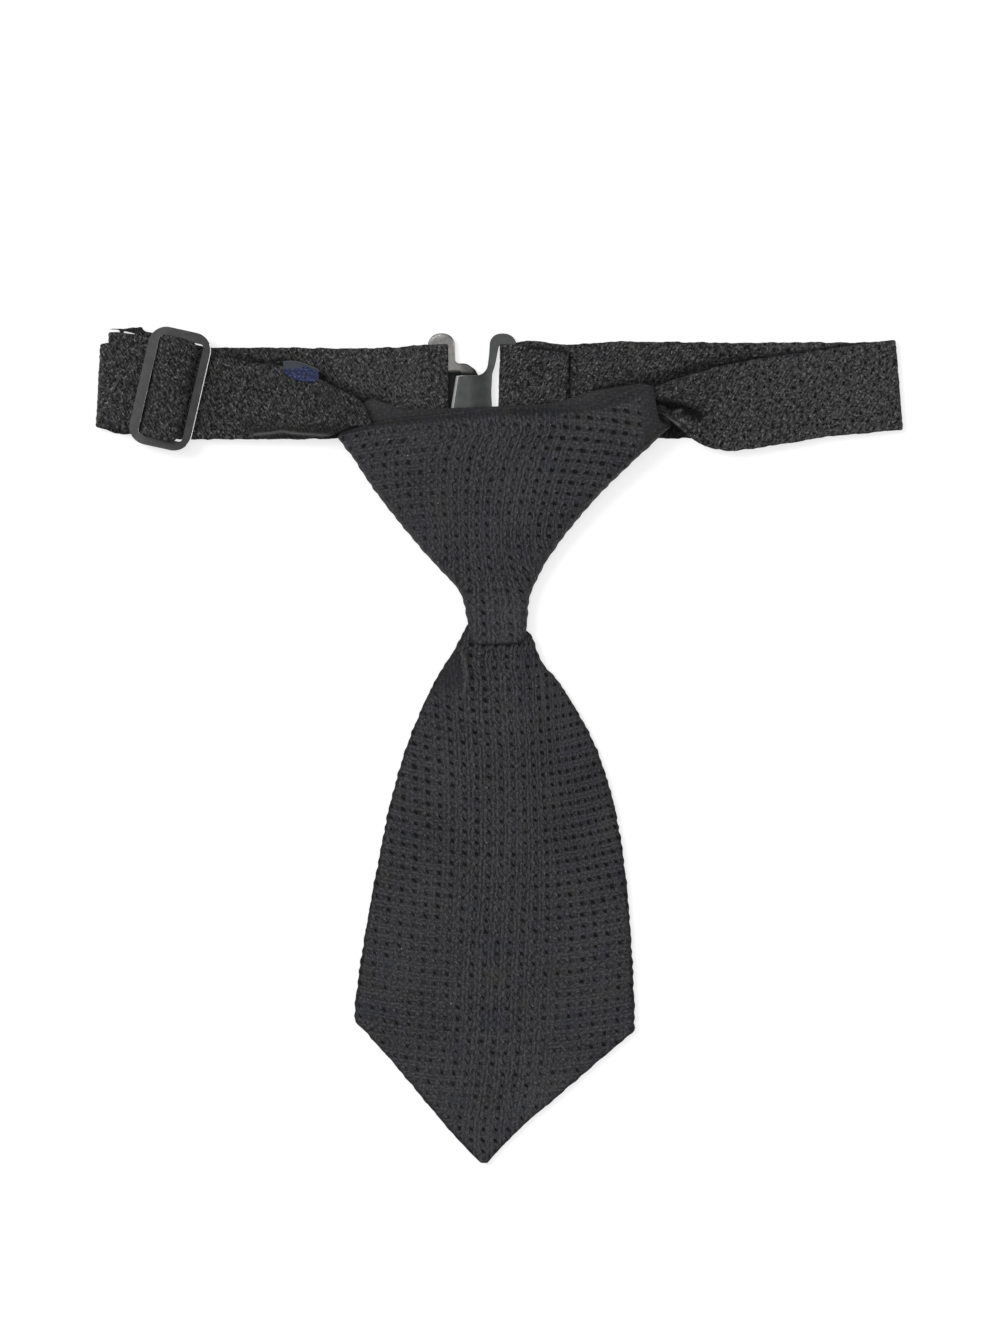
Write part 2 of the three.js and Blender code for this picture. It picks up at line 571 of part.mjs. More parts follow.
/** The neck band: one strip of folded cloth with softened edges. */
function bandGeometry() {
  const stations = bandStations();
  const rings = stations.map((station, i) => {
    const before = stations[Math.max(i - 1, 0)];
    const after = stations[Math.min(i + 1, stations.length - 1)];
    const normal = new THREE.Vector2(before.z - after.z, after.x - before.x).normalize();
    const half = (station.thick ?? CLOTH) / 2;
    const soft = half * BAND_SOFTNESS;
    const { top, bottom } = station;
    const outline = [
      [bottom, -half + soft], [bottom + soft, -half], [top - soft, -half], [top, -half + soft],
      [top, half - soft], [top - soft, half], [bottom + soft, half], [bottom, half - soft],
    ];
    return outline.map(([y, out]) => {
      const leaning = station.lean * ((y - bottom) / (top - bottom) - 0.5);
      return new THREE.Vector3(station.x + leaning + normal.x * out, y, station.z + normal.y * out);
    });
  });
  return loft(rings);
}

// Slider

/** Adds a rounded rectangle round a middle to a shape or a path. */
function roundedBox(path, x, y, width, height, radius) {
  const [left, right, low, high] = [x - width / 2, x + width / 2, y - height / 2, y + height / 2];
  path.moveTo(left + radius, low);
  path.lineTo(right - radius, low);
  path.absarc(right - radius, low + radius, radius, -Math.PI / 2, 0, false);
  path.lineTo(right, high - radius);
  path.absarc(right - radius, high - radius, radius, 0, Math.PI / 2, false);
  path.lineTo(left + radius, high);
  path.absarc(left + radius, high - radius, radius, Math.PI / 2, Math.PI, false);
  path.lineTo(left, low + radius);
  path.absarc(left + radius, low + radius, radius, Math.PI, Math.PI * 1.5, false);
  return path;
}

const SLIDER_CORNER = 4.0; // radius of its outer corners
const WINDOW_CORNER = 0.8; // radius of its windows' corners
const MIDDLE_BAR = 1.2; // width of the bar that the band's end is sewn round

/** The slider: a flat rounded frame with a bar down its middle. */
function sliderGeometry() {
  const { width, height, bar, thick } = SLIDER;
  const shape = roundedBox(new THREE.Shape(), 0, 0, width, height, SLIDER_CORNER);
  const windowWidth = width / 2 - bar - MIDDLE_BAR / 2;
  const windowX = (MIDDLE_BAR + windowWidth) / 2;
  for (const side of [-1, 1]) {
    const path = new THREE.Path();
    shape.holes.push(roundedBox(path, side * windowX, 0, windowWidth, height - 2 * bar, WINDOW_CORNER));
  }
  return new THREE.ExtrudeGeometry(shape, { depth: thick, bevelEnabled: false, curveSegments: CURVE });
}

// Clasp

const EAR = { height: 12.9, radius: 2.6, wall: 1.8 }; // half the clasp's height, and its rounded ears

const EYE = {
  left: -15.9, // outer edge of the bar inside the band's fold
  slotLeft: -14.2,
  slotRight: -10.9,
  right: -9.1, // outer edge of the upright beside the fold
  tongueLeft: -6.5, // inner and outer edge of the bar that the hook catches
  tongueRight: -4.5,
  tongueHalf: 5.8,
  tongueCorner: 1.8,
  mouthHalf: 4.3,
};

/** The eye: a flat frame with a tall slot for the band and a short loop for the hook. */
function eyeGeometry() {
  const { height, radius, wall } = EAR;
  const { tongueHalf, tongueCorner, tongueRight } = EYE;
  const shape = new THREE.Shape();
  shape.moveTo(EYE.left, 0);
  shape.lineTo(EYE.left, -height + radius);
  shape.absarc(EYE.left + radius, -height + radius, radius, Math.PI, Math.PI * 1.5, false);
  shape.lineTo(EYE.right - radius, -height);
  shape.absarc(EYE.right - radius, -height + radius, radius, -Math.PI / 2, 0, false);
  shape.lineTo(EYE.right, -tongueHalf);
  shape.lineTo(tongueRight - tongueCorner, -tongueHalf);
  shape.absarc(tongueRight - tongueCorner, -tongueHalf + tongueCorner, tongueCorner, -Math.PI / 2, 0, false);
  shape.lineTo(tongueRight, tongueHalf - tongueCorner);
  shape.absarc(tongueRight - tongueCorner, tongueHalf - tongueCorner, tongueCorner, 0, Math.PI / 2, false);
  shape.lineTo(EYE.right, tongueHalf);
  shape.lineTo(EYE.right, height - radius);
  shape.absarc(EYE.right - radius, height - radius, radius, 0, Math.PI / 2, false);
  shape.lineTo(EYE.left + radius, height);
  shape.absarc(EYE.left + radius, height - radius, radius, Math.PI / 2, Math.PI, false);
  const slot = new THREE.Path();
  const slotHigh = height - wall;
  slot.moveTo(EYE.slotLeft, -slotHigh);
  slot.lineTo(EYE.slotRight, -slotHigh);
  slot.lineTo(EYE.slotRight, -EYE.mouthHalf);
  slot.lineTo(EYE.tongueLeft, -EYE.mouthHalf);
  slot.lineTo(EYE.tongueLeft, EYE.mouthHalf);
  slot.lineTo(EYE.slotRight, EYE.mouthHalf);
  slot.lineTo(EYE.slotRight, slotHigh);
  slot.lineTo(EYE.slotLeft, slotHigh);
  shape.holes.push(slot);
  return new THREE.ExtrudeGeometry(shape, { depth: PLATE, bevelEnabled: false, curveSegments: CURVE });
}

const HOOK = {
  right: 3.5, // outer edge of the bar inside the band's fold
  slotRight: 1.9,
  slotLeft: -1.35,
  slotCorner: 0.8,
  earLeft: -1.95, // outer edge of the upright at the ears
  legLeft: -2.4, // outer edge of the upright above the plate
  legHalf: 6.75, // height at which it starts to widen
  flareLeft: -2.7, // bend of the edge that widens into the plate
  flareHalf: 3.95,
  neckLeft: -3.9, // where the upright has widened into the plate
  stepLeft: -3.6, // where the leaf has stepped up over the eye
  leafRight: -1.75, // where the leaf is joined to the upright
  plateHalf: 3.35,
  lowered: 0.35, // how far the hook hangs below the eye's middle
  tilt: -4.5,
  turnX: -8.3, // middle of the hook's turn
  turnRadius: 1.05,
  tip: -4.9, // end of the leaf that lies under the eye
};

/** The hook: a flat frame whose plate steps up over the eye and turns back below it. */
function hookGeometry() {
  const { height, radius, wall } = EAR;
  const { earLeft, legLeft, legHalf, flareLeft, flareHalf, neckLeft, plateHalf } = HOOK;
  const { stepLeft, leafRight, turnX, turnRadius, tip, slotLeft, slotRight, slotCorner } = HOOK;
  const shape = new THREE.Shape();
  shape.moveTo(HOOK.right, 0);
  shape.lineTo(HOOK.right, height - radius);
  shape.absarc(HOOK.right - radius, height - radius, radius, 0, Math.PI / 2, false);
  shape.absarc(earLeft + radius, height - radius, radius, Math.PI / 2, Math.PI, false);
  shape.lineTo(legLeft, legHalf);
  shape.quadraticCurveTo(flareLeft, flareHalf, neckLeft, plateHalf);
  shape.lineTo(neckLeft, -plateHalf);
  shape.quadraticCurveTo(flareLeft, -flareHalf, legLeft, -legHalf);
  shape.lineTo(earLeft, -height + radius);
  shape.absarc(earLeft + radius, -height + radius, radius, Math.PI, Math.PI * 1.5, false);
  shape.absarc(HOOK.right - radius, -height + radius, radius, -Math.PI / 2, 0, false);
  const slotMiddle = (slotLeft + slotRight) / 2;
  const slotWidth = slotRight - slotLeft;
  shape.holes.push(roundedBox(new THREE.Path(), slotMiddle, 0, slotWidth, 2 * (height - wall), slotCorner));
  const frame = new THREE.ExtrudeGeometry(shape, { depth: PLATE, bevelEnabled: false, curveSegments: CURVE });
  frame.translate(0, 0, -PLATE / 2);

  const half = PLATE / 2;
  const side = new THREE.Shape();
  side.moveTo(leafRight, -half);
  side.lineTo(flareLeft, -half);
  side.lineTo(stepLeft, turnRadius - half);
  side.lineTo(turnX, turnRadius - half);
  side.absarc(turnX, 0, turnRadius - half, Math.PI / 2, Math.PI * 1.5, false);
  side.lineTo(tip, -turnRadius + half);
  side.lineTo(tip, -turnRadius - half);
  side.lineTo(turnX, -turnRadius - half);
  side.absarc(turnX, 0, turnRadius + half, Math.PI * 1.5, Math.PI / 2, true);
  side.lineTo(stepLeft, turnRadius + half);
  side.lineTo(flareLeft, half);
  side.lineTo(leafRight, half);
  const depth = 2 * plateHalf;
  const leaf = new THREE.ExtrudeGeometry(side, { depth, bevelEnabled: false, curveSegments: CURVE });
  leaf.translate(0, 0, -plateHalf);
  leaf.rotateX(Math.PI / 2);
  return geometryOfSolid(solidOf(frame).add(solidOf(leaf)));
}

// Label

// front and behind are how far its two ends hang down, and slope is how the band below it rises
const LABEL = { x: -44.0, y: 83.0, z: 5.05, width: 8.0, front: 3.6, behind: 1.8, tilt: -17, slope: 3.6 };

/** The label: a small tab folded over the band's top edge, thick as woven cloth. */
function labelGeometry() {
  const inside = CLOTH / 2 + GAP;
  const outside = inside + CLOTH;
  const side = new THREE.Shape();
  side.moveTo(-LABEL.front, inside);
  side.lineTo(0, inside);
  side.absarc(0, 0, inside, Math.PI / 2, -Math.PI / 2, true);
  side.lineTo(-LABEL.behind, -inside);
  side.lineTo(-LABEL.behind, -outside);
  side.lineTo(0, -outside);
  side.absarc(0, 0, outside, -Math.PI / 2, Math.PI / 2, false);
  side.lineTo(-LABEL.front, outside);
  const depth = LABEL.width;
  const tab = new THREE.ExtrudeGeometry(side, { depth, bevelEnabled: false, curveSegments: CURVE });
  tab.translate(0, 0, -depth / 2);
  const fore = new THREE.Vector3(0, 1, 0);
  const up = new THREE.Vector3(0, 0, 1);
  const right = new THREE.Vector3(1, 0, 0);
  return tab.applyMatrix4(new THREE.Matrix4().makeBasis(fore, up, right));
}

// Assembly

/** Adds one named piece to the tie. */
function addPiece(tie, name, geometry, material, place = {}) {
  const mesh = new THREE.Mesh(geometry, material);
  mesh.name = name;
  mesh.position.set(place.x ?? 0, place.y ?? 0, place.z ?? 0);
  mesh.rotation.z = THREE.MathUtils.degToRad(place.tilt ?? 0);
  tie.add(mesh);
  return mesh;
}

const tie = new THREE.Group();
addPiece(tie, 'blade', bladeGeometry(), SILK);
addPiece(tie, 'knot', knotGeometry(), SILK);
addPiece(tie, 'neck_band', bandGeometry(), BAND_SILK);
addPiece(tie, 'slider', sliderGeometry(), BLACK_PAINT, { ...SLIDER, z: SLIDER_BASE });
addPiece(tie, 'clasp_eye', eyeGeometry(), GUNMETAL, { y: CLASP_Y, z: PLATE_LEVEL - PLATE / 2 });
const hookPlace = { y: CLASP_Y - HOOK.lowered, z: PLATE_LEVEL, tilt: HOOK.tilt };
addPiece(tie, 'clasp_hook', hookGeometry(), GUNMETAL, hookPlace);
const label = addPiece(tie, 'label', labelGeometry(), LABEL_BLUE, LABEL);
label.rotation.y = THREE.MathUtils.degToRad(-LABEL.slope);

export default tie;
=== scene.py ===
"""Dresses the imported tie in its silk, hardware, label and stitches, and lights it on a plain floor.

The tables give real sizes in millimetres, as the part's source does, and every mesh is in metres.
+Z is up from the surface, +Y runs from the blade's point to the neck band, and +X is to the right.
"""

from __future__ import annotations

import logging
import math
from dataclasses import dataclass, field
from enum import Enum
from functools import cache
from typing import Callable, Sequence

import bmesh
import bpy
import numpy as np
from mathutils import Matrix, Vector

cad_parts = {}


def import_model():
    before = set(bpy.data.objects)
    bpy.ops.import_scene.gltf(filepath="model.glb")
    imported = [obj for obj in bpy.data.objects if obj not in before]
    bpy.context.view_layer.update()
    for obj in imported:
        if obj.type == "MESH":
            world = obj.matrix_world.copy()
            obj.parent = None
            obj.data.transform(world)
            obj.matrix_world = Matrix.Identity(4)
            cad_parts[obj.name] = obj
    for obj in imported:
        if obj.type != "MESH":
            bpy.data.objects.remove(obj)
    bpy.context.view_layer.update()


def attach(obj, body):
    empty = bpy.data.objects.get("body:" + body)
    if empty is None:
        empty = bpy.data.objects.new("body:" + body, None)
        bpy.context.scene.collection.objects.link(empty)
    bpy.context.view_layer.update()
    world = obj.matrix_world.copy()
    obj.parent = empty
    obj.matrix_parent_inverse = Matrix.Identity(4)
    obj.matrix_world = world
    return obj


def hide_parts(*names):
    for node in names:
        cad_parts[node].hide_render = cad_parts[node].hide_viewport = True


log = logging.getLogger("necktie")

MM = 0.001
BODY = "root"
CORNER_STEPS = 6  # in each rounded corner of cut metal
WEAR_AND_HIGHLIGHT_RING = 0.14  # width of the ring inside metal edges where wear and painted highlights fade out, in millimetres
ORIGIN = (0.0, 0.0, 0.0)
BLACK = (0.0, 0.0, 0.0)
WHITE = (1.0, 1.0, 1.0)
Array = np.ndarray
Colour = tuple[float, float, float]
Corners = Sequence[tuple[float, float, float]]
Path = Sequence[tuple[float, float]]
Material = bpy.types.Material
Piece = bpy.types.Object
Work = bmesh.types.BMesh


class Layer(Enum):
    """Names of the values that a cloth mesh carries for its material."""

    CLOTH = "cloth"  # UV map: place on the cloth in millimetres
    OPEN = "open_weave"  # 1 where the weave's holes are open; on the label, where its fold is painted paler as painted light
    RIBS = "upright_ribs"  # 1 where the upright threads show more than the level ones
    SHADE = "shade"  # 1 on the side of the cloth that faces inwards, and deep in folds
    WORN = "worn"  # 1 where the surface is painted lighter: bare or rubbed metal edges, painted highlights on metal and on the crests of creases in cloth, and paler stretches of cloth
    TARNISH = "tarnish"  # 1 where metal is painted darker: painted shade on the clasp's eye, and the slider's darker right bar


# Numbers


def unit(value: Array) -> Array:
    """Cuts off what is below 0 or above 1."""
    return np.clip(value, 0.0, 1.0)


def ease(low: float, high: float, value: Array) -> Array:
    """Rises smoothly from 0 at low to 1 at high."""
    share = unit((value - low) / (high - low))
    return share * share * (3.0 - 2.0 * share)


def hump(value: Array, centre: Array | float, width: float) -> Array:
    """A soft hump of height 1 round a centre."""
    return np.exp(-(((value - centre) / width) ** 2))


def beside_path(x: Array, y: Array, path: Path, width: float) -> Array:
    """A soft hump of height 1 along a path of straight lines.

    Args:
        x: Places from left to right.
        y: Places from below to above.
        path: The path's corners.
        width: Half width of the hump.

    Returns:
        The hump's height at each place.
    """
    nearest = np.full(np.broadcast(x, y).shape, np.inf)
    for (x0, y0), (x1, y1) in zip(path, path[1:]):
        length = (x1 - x0) ** 2 + (y1 - y0) ** 2
        share = np.clip(((x - x0) * (x1 - x0) + (y - y0) * (y1 - y0)) / length, 0.0, 1.0)
        away = np.hypot(x - x0 - share * (x1 - x0), y - y0 - share * (y1 - y0))
        nearest = np.minimum(nearest, away)
    return hump(nearest, 0, width)


class Table:
    """A short table with named columns, read smoothly between its rows."""

    def __init__(self, columns: str, rows: list[tuple[float, ...]]) -> None:
        """Keeps the table.

        Args:
            columns: The columns' names, with spaces between them.
            rows: One tuple of numbers for each row.
        """
        values = np.array(rows, float)
        self.columns = {name: values[:, i] for i, name in enumerate(columns.split())}
        self.count = len(rows)

    def smooth(self, key: str, column: str, places: Array) -> Array:
        """Reads a column at places along a rising key column, without overshoot."""
        return self._between(self.columns[key], self.columns[column], places)

    def by_row(self, column: str, places: Array) -> Array:
        """Reads a column at places counted in rows from 0."""
        return self._between(np.arange(self.count, dtype=float), self.columns[column], places)

    @staticmethod
    def _between(keys: Array, values: Array, places: Array) -> Array:
        """Reads a curve through the points that never leaves their range.

        Args:
            keys: Rising places of the points.
            values: The points' values.
            places: Where to read the curve.

        Returns:
            The curve's value at each place.
        """
        step = np.diff(keys)
        slope = np.diff(values) / step
        same = slope[:-1] * slope[1:] > 0
        total = np.where(same, slope[:-1] + slope[1:], 1.0)
        inner = np.where(same, 2.0 * slope[:-1] * slope[1:] / total, 0.0)
        tangent = np.concatenate([slope[:1], inner, slope[-1:]])
        i = np.clip(np.searchsorted(keys, places) - 1, 0, len(step) - 1)
        t = unit((places - keys[i]) / step[i])
        start = (1.0 + 2.0 * t) * (1.0 - t) ** 2 * values[i] + t * (1.0 - t) ** 2 * step[i] * tangent[i]
        end = t * t * (3.0 - 2.0 * t) * values[i + 1] + t * t * (t - 1.0) * step[i] * tangent[i + 1]
        return start + end


def table(columns: str, rows: list[tuple[float, ...]]) -> Table:
    """A dataclass field that holds a table."""
    return field(default_factory=lambda: Table(columns, rows))


def within(value: Array, rise: tuple[float, float], fall: tuple[float, float]) -> Array:
    """Rises smoothly from 0 to 1 over one span and falls back over another."""
    return ease(*rise, value) * ease(fall[1], fall[0], value)


class Ripple:
    """Gentle unevenness: a few waves in random directions, drawn once from a seed."""

    def __init__(self, seed: int, wavelength: float, waves: int = 9) -> None:
        """Draws the waves.

        Args:
            seed: Starts the random numbers, so that each run gives the same waves.
            wavelength: Their mean length, in the units of the places.
            waves: How many there are.
        """
        draw = np.random.default_rng(seed)
        self.angle = draw.uniform(0.0, 2.0 * math.pi, waves)
        self.phase = draw.uniform(0.0, 2.0 * math.pi, waves)
        self.pitch = wavelength * draw.uniform(0.7, 1.5, waves)

    def at(self, u: Array, v: Array) -> Array:
        """Height from about -1 to 1 at places on a plane."""
        total = np.zeros(np.broadcast(u, v).shape)
        for angle, phase, pitch in zip(self.angle, self.phase, self.pitch):
            along = u * math.cos(angle) + v * math.sin(angle)
            total += np.sin(2.0 * math.pi * along / pitch + phase)
        return total / math.sqrt(len(self.angle) * 2.0)


def ripples(u: Array, v: Array, *parts: tuple[float, int, float]) -> Array:
    """Adds up ripples on a plane, given as the height, seed and wavelength of each."""
    return sum(height * Ripple(seed, wavelength).at(u, v) for height, seed, wavelength in parts)


# Nodes


class Wire:
    """An output socket that can be reckoned with like a number."""

    def __init__(self, bench: Bench, socket: bpy.types.NodeSocket) -> None:
        """Keeps the socket and its bench."""
        self.bench = bench
        self.socket = socket

    def __add__(self, other: object) -> Wire:
        """Adds a number or a wire."""
        return self.bench.math("ADD", self, other)

    def __sub__(self, other: object) -> Wire:
        """Takes off a number or a wire."""
        return self.bench.math("SUBTRACT", self, other)

    def __rsub__(self, other: object) -> Wire:
        """Takes this off a number."""
        return self.bench.math("SUBTRACT", other, self)

    def __mul__(self, other: object) -> Wire:
        """Multiplies by a number or a wire."""
        return self.bench.math("MULTIPLY", self, other)

    def __truediv__(self, other: object) -> Wire:
        """Divides by a number or a wire."""
        return self.bench.math("DIVIDE", self, other)

    def __rtruediv__(self, other: object) -> Wire:
        """Divides a number by this."""
        return self.bench.math("DIVIDE", other, self)


class Bench:
    """Adds and links the nodes of one tree."""

    def __init__(self, tree: bpy.types.NodeTree) -> None:
        """Starts work on a tree."""
        self.tree = tree

    def add(self, kind: str, settings: dict | None = None, **inputs: object) -> bpy.types.Node:
        """Adds a node.

        Args:
            kind: The node's type.
            settings: The node's own settings.
            inputs: Values or wires for its inputs, by name with _ for a space.

        Returns:
            The new node.
        """
        node = self.tree.nodes.new(kind)
        for name, value in (settings or {}).items():
            setattr(node, name, value)
        self.fill(node, **inputs)
        return node

    def wire(self, kind: str, output: str | int, settings: dict | None = None, **inputs: object) -> Wire:
        """Adds a node and gives one of its outputs."""
        return Wire(self, self.add(kind, settings, **inputs).outputs[output])

    def fill(self, node: bpy.types.Node, **inputs: object) -> None:
        """Feeds a node's inputs, by name with _ for a space."""
        for name, value in inputs.items():
            self.feed(node.inputs[name.replace("_", " ")], value)

    def feed(self, socket: bpy.types.NodeSocket, value: object) -> None:
        """Links a wire to an input, or sets the input's own value."""
        if isinstance(value, Wire):
            self.tree.links.new(value.socket, socket)
        elif isinstance(value, tuple) and socket.type == "RGBA":
            socket.default_value = (*value, 1.0)
        else:
            socket.default_value = value

    def math(self, operation: str, *values: object) -> Wire:
        """Adds a Math node and gives its output."""
        node = self.add("ShaderNodeMath", {"operation": operation})
        for socket, value in zip(node.inputs, values):
            self.feed(socket, value)
        return Wire(self, node.outputs[0])

    def vector(self, operation: str, *values: object) -> Wire:
        """Adds a Vector Math node and gives its vector, or its length."""
        node = self.add("ShaderNodeVectorMath", {"operation": operation})
        for socket, value in zip(node.inputs, values):
            self.feed(socket, value)
        return Wire(self, node.outputs["Value" if operation == "LENGTH" else "Vector"])

    def split(self, place: Wire) -> list[Wire]:
        """Splits a vector into its three parts."""
        return [Wire(self, part) for part in self.add("ShaderNodeSeparateXYZ", Vector=place).outputs]

    def turned(self, place: Wire, degrees: float) -> Wire:
        """Turns places in their plane."""
        return self.wire("ShaderNodeMapping", 0, Vector=place, Rotation=(0.0, 0.0, math.radians(degrees)))

    def ramp(self, value: Wire, low: float, high: float, start: float = 0.0, end: float = 1.0) -> Wire:
        """Maps a value from one range to another, smoothly and clamped."""
        node = self.add("ShaderNodeMapRange", {"interpolation_type": "SMOOTHSTEP", "clamp": True})
        self.fill(node, Value=value, From_Min=low, From_Max=high, To_Min=start, To_Max=end)
        return Wire(self, node.outputs[0])

    def mix(self, share: object, first: object, second: object) -> Wire:
        """Mixes two colours."""
        node = self.add("ShaderNodeMix", {"data_type": "RGBA"}, Factor=share)
        self.feed(node.inputs[6], first)
        self.feed(node.inputs[7], second)
        return Wire(self, node.outputs[2])

    def noise(self, place: Wire, scale: object, detail: float, output: str = "Fac") -> Wire:
        """Adds a noise texture and gives its value or colour."""
        return self.wire("ShaderNodeTexNoise", output, Vector=place, Scale=scale, Detail=detail)

    def bump(self, height: Wire, depth: float, strength: float = 1.0) -> Wire:
        """Turns heights into relief, whose depth is in millimetres."""
        return self.wire("ShaderNodeBump", 0, Height=height, Distance=depth * MM, Strength=strength)

    def layer(self, layer: Layer) -> Wire:
        """Reads one of the mesh's layers."""
        return self.wire("ShaderNodeAttribute", "Fac", {"attribute_name": layer.value})

    def cloth(self) -> Wire:
        """Reads the mesh's places on the cloth."""
        return self.wire("ShaderNodeUVMap", 0, {"uv_map": Layer.CLOTH.value})

    def spot(self) -> Wire:
        """Reads the places on the piece, in metres."""
        return self.wire("ShaderNodeTexCoord", "Object")


class Effect:
    """A shader node group with named inputs and outputs, built once and shared by the materials."""

    def __init__(self, name: str, **inputs: object) -> None:
        """Makes the group and its inputs.

        Args:
            name: The group's name.
            inputs: The inputs' values, by name with _ for a space; a tuple makes a vector input.
        """
        self.group = bpy.data.node_groups.new(name, "ShaderNodeTree")
        for label, value in inputs.items():
            kind = "NodeSocketVector" if isinstance(value, tuple) else "NodeSocketFloat"
            plain = label.replace("_", " ")
            socket = self.group.interface.new_socket(plain, in_out="INPUT", socket_type=kind)
            socket.default_value = value
        self.bench = Bench(self.group)
        sockets = self.bench.add("NodeGroupInput").outputs[: len(inputs)]
        self.given = {socket.name: Wire(self.bench, socket) for socket in sockets}

    def give(self, **outputs: Wire) -> Effect:
        """Makes the group's outputs and feeds them."""
        for label in outputs:
            self.group.interface.new_socket(label, in_out="OUTPUT", socket_type="NodeSocketFloat")
        self.bench.add("NodeGroupOutput", **outputs)
        return self

    def place(self, bench: Bench, **inputs: object) -> dict[str, Wire]:
        """Places the group in a material and gives its outputs."""
        node = bench.add("ShaderNodeGroup", {"node_tree": self.group}, **inputs)
        return {socket.name: Wire(bench, socket) for socket in node.outputs}


@cache
def weave_effect() -> Effect:
    """Builds the open weave: its holes, the threads between them and the ticks beside the holes, which are
    painted highlights.
    """
    effect = Effect(
        "open_weave", Cloth=ORIGIN, Across=2.6, Along=2.4, Hole_Width=0.36, Hole_Length=0.46, Slant=0.0,
        Threads=3.0, Wander=0.2, Ribs=0.5,
    )
    b, given = effect.bench, effect.given
    cloth, ribs = given["Cloth"], given["Ribs"]
    centred = b.vector("SUBTRACT", b.noise(cloth, 0.62, 2.0, "Color"), (0.5, 0.5, 0.5))
    moved = b.vector("MULTIPLY_ADD", centred, given["Wander"], cloth)
    from_left, from_below, _ = b.split(moved)
    u_count = from_left / given["Across"]
    v_count = from_below / given["Along"]
    column = b.math("ROUND", u_count)
    row = b.math("ROUND", v_count)
    x_straight = (u_count - column) * given["Across"]
    y = (v_count - row) * given["Along"]
    x = y * given["Slant"] + x_straight

    # No two holes are alike in size or depth, and whole patches are fainter
    cell = b.wire("ShaderNodeCombineXYZ", 0, X=column, Y=row)
    luck = b.wire("ShaderNodeTexWhiteNoise", "Value", {"noise_dimensions": "2D"}, Vector=cell)
    size = b.ramp(luck, 0.0, 1.0, 0.82, 1.2)
    wide = x / (given["Hole Width"] * size)
    tall = y / (given["Hole Length"] * size)
    reach = b.math("SQRT", wide * wide + tall * tall)
    patch = b.ramp(b.noise(cloth, 0.11, 1.0), 0.36, 0.56, 0.8, 1.0)
    strength = b.ramp(luck, 0.0, 0.6, 0.68, 1.0) * patch
    open_holes = b.ramp(reach, 0.8, 1.25, 1.0, 0.0) * strength

    # Between the holes the cloth sinks along their rows, or along their columns where the ribs show
    by_row = b.ramp(b.math("ABSOLUTE", y), 0.1, 0.45, 1.0, 0.0)
    by_column = b.ramp(b.math("ABSOLUTE", x_straight), 0.1, 0.4, 1.0, 0.0)
    broken = b.ramp(b.noise(moved, 0.9, 1.0), 0.35, 0.6, 0.3, 1.0)
    sunk = b.math("MAXIMUM", by_row * (ribs * -0.55 + 0.55), by_column * (ribs * 0.25)) * broken

    # Painted highlight: the bright tick of the thread that turns down into the hole, which slants the other
    # way
    aside = b.wire("ShaderNodeCombineXYZ", 0, X=x_straight + 0.56, Y=y + 0.22)
    leaning = b.vector("MULTIPLY", b.turned(aside, -52.0), (1.0 / 0.5, 1.0 / 0.17, 0.0))
    ticks = b.ramp(b.vector("LENGTH", leaning), 0.6, 1.3, 1.0, 0.0) * b.ramp(luck, 0.1, 0.8, 1.0, 0.15)

    def strands(across: Wire, along: Wire, fuzz: tuple[float, float, float]) -> Wire:
        """Raised strands side by side, each broken where another passes over it, and frayed."""
        lane = across * given["Threads"]
        side = b.math("COSINE", lane * (2.0 * math.pi)) * 0.5 + 0.5
        half = b.math("FLOORED_MODULO", b.math("ROUND", lane), 2.0) * math.pi
        beat = along * given["Threads"] * math.pi
        over = b.math("COSINE", beat + half) * 0.35 + 0.65
        frayed = b.ramp(b.noise(b.vector("MULTIPLY", moved, fuzz), 1.0, 1.0), 0.38, 0.56)
        return frayed * 0.48 + side * over * 0.8

    upright = strands(u_count, v_count, (2.8, 0.75, 1.0))
    level = strands(v_count, u_count, (0.9, 2.6, 1.0))
    threads = upright * ribs + level * (1.0 - ribs)
    return effect.give(Holes=b.math("MAXIMUM", open_holes, sunk), Threads=threads, Ticks=ticks)


@cache
def crepe_effect() -> Effect:
    """Builds the crinkled weave: short strands that cross, and the pits between them."""
    effect = Effect(
        "crinkled_weave", Cloth=ORIGIN, Crossing=ORIGIN, Strand_Width=0.3, Strand_Length=1.0, Pit=0.6,
        Ribs=0.7,
    )
    b, given = effect.bench, effect.given
    cloth = given["Cloth"]
    narrow, long = 1.0 / given["Strand Width"], 1.0 / given["Strand Length"]
    stretch = b.wire("ShaderNodeCombineXYZ", 0, X=narrow, Y=long)
    over, under = (
        b.noise(b.vector("MULTIPLY", place, stretch), 1.0, 1.0) for place in (cloth, given["Crossing"])
    )
    first = b.ramp(over, 0.44, 0.56)
    second = b.ramp(under, 0.46, 0.58)
    threads = second * 0.5 + first * given["Ribs"]
    often = 1.0 / given["Pit"]
    pits = b.ramp(b.noise(cloth, often, 1.0), 0.47, 0.39) * (1.0 - threads * 0.7)
    elsewhere = b.vector("ADD", cloth, (23.0, 41.0, 3.0))
    ticks = b.ramp(b.noise(elsewhere, often * 1.25, 0.0), 0.62, 0.69)
    return effect.give(Holes=pits, Threads=threads, Ticks=ticks)


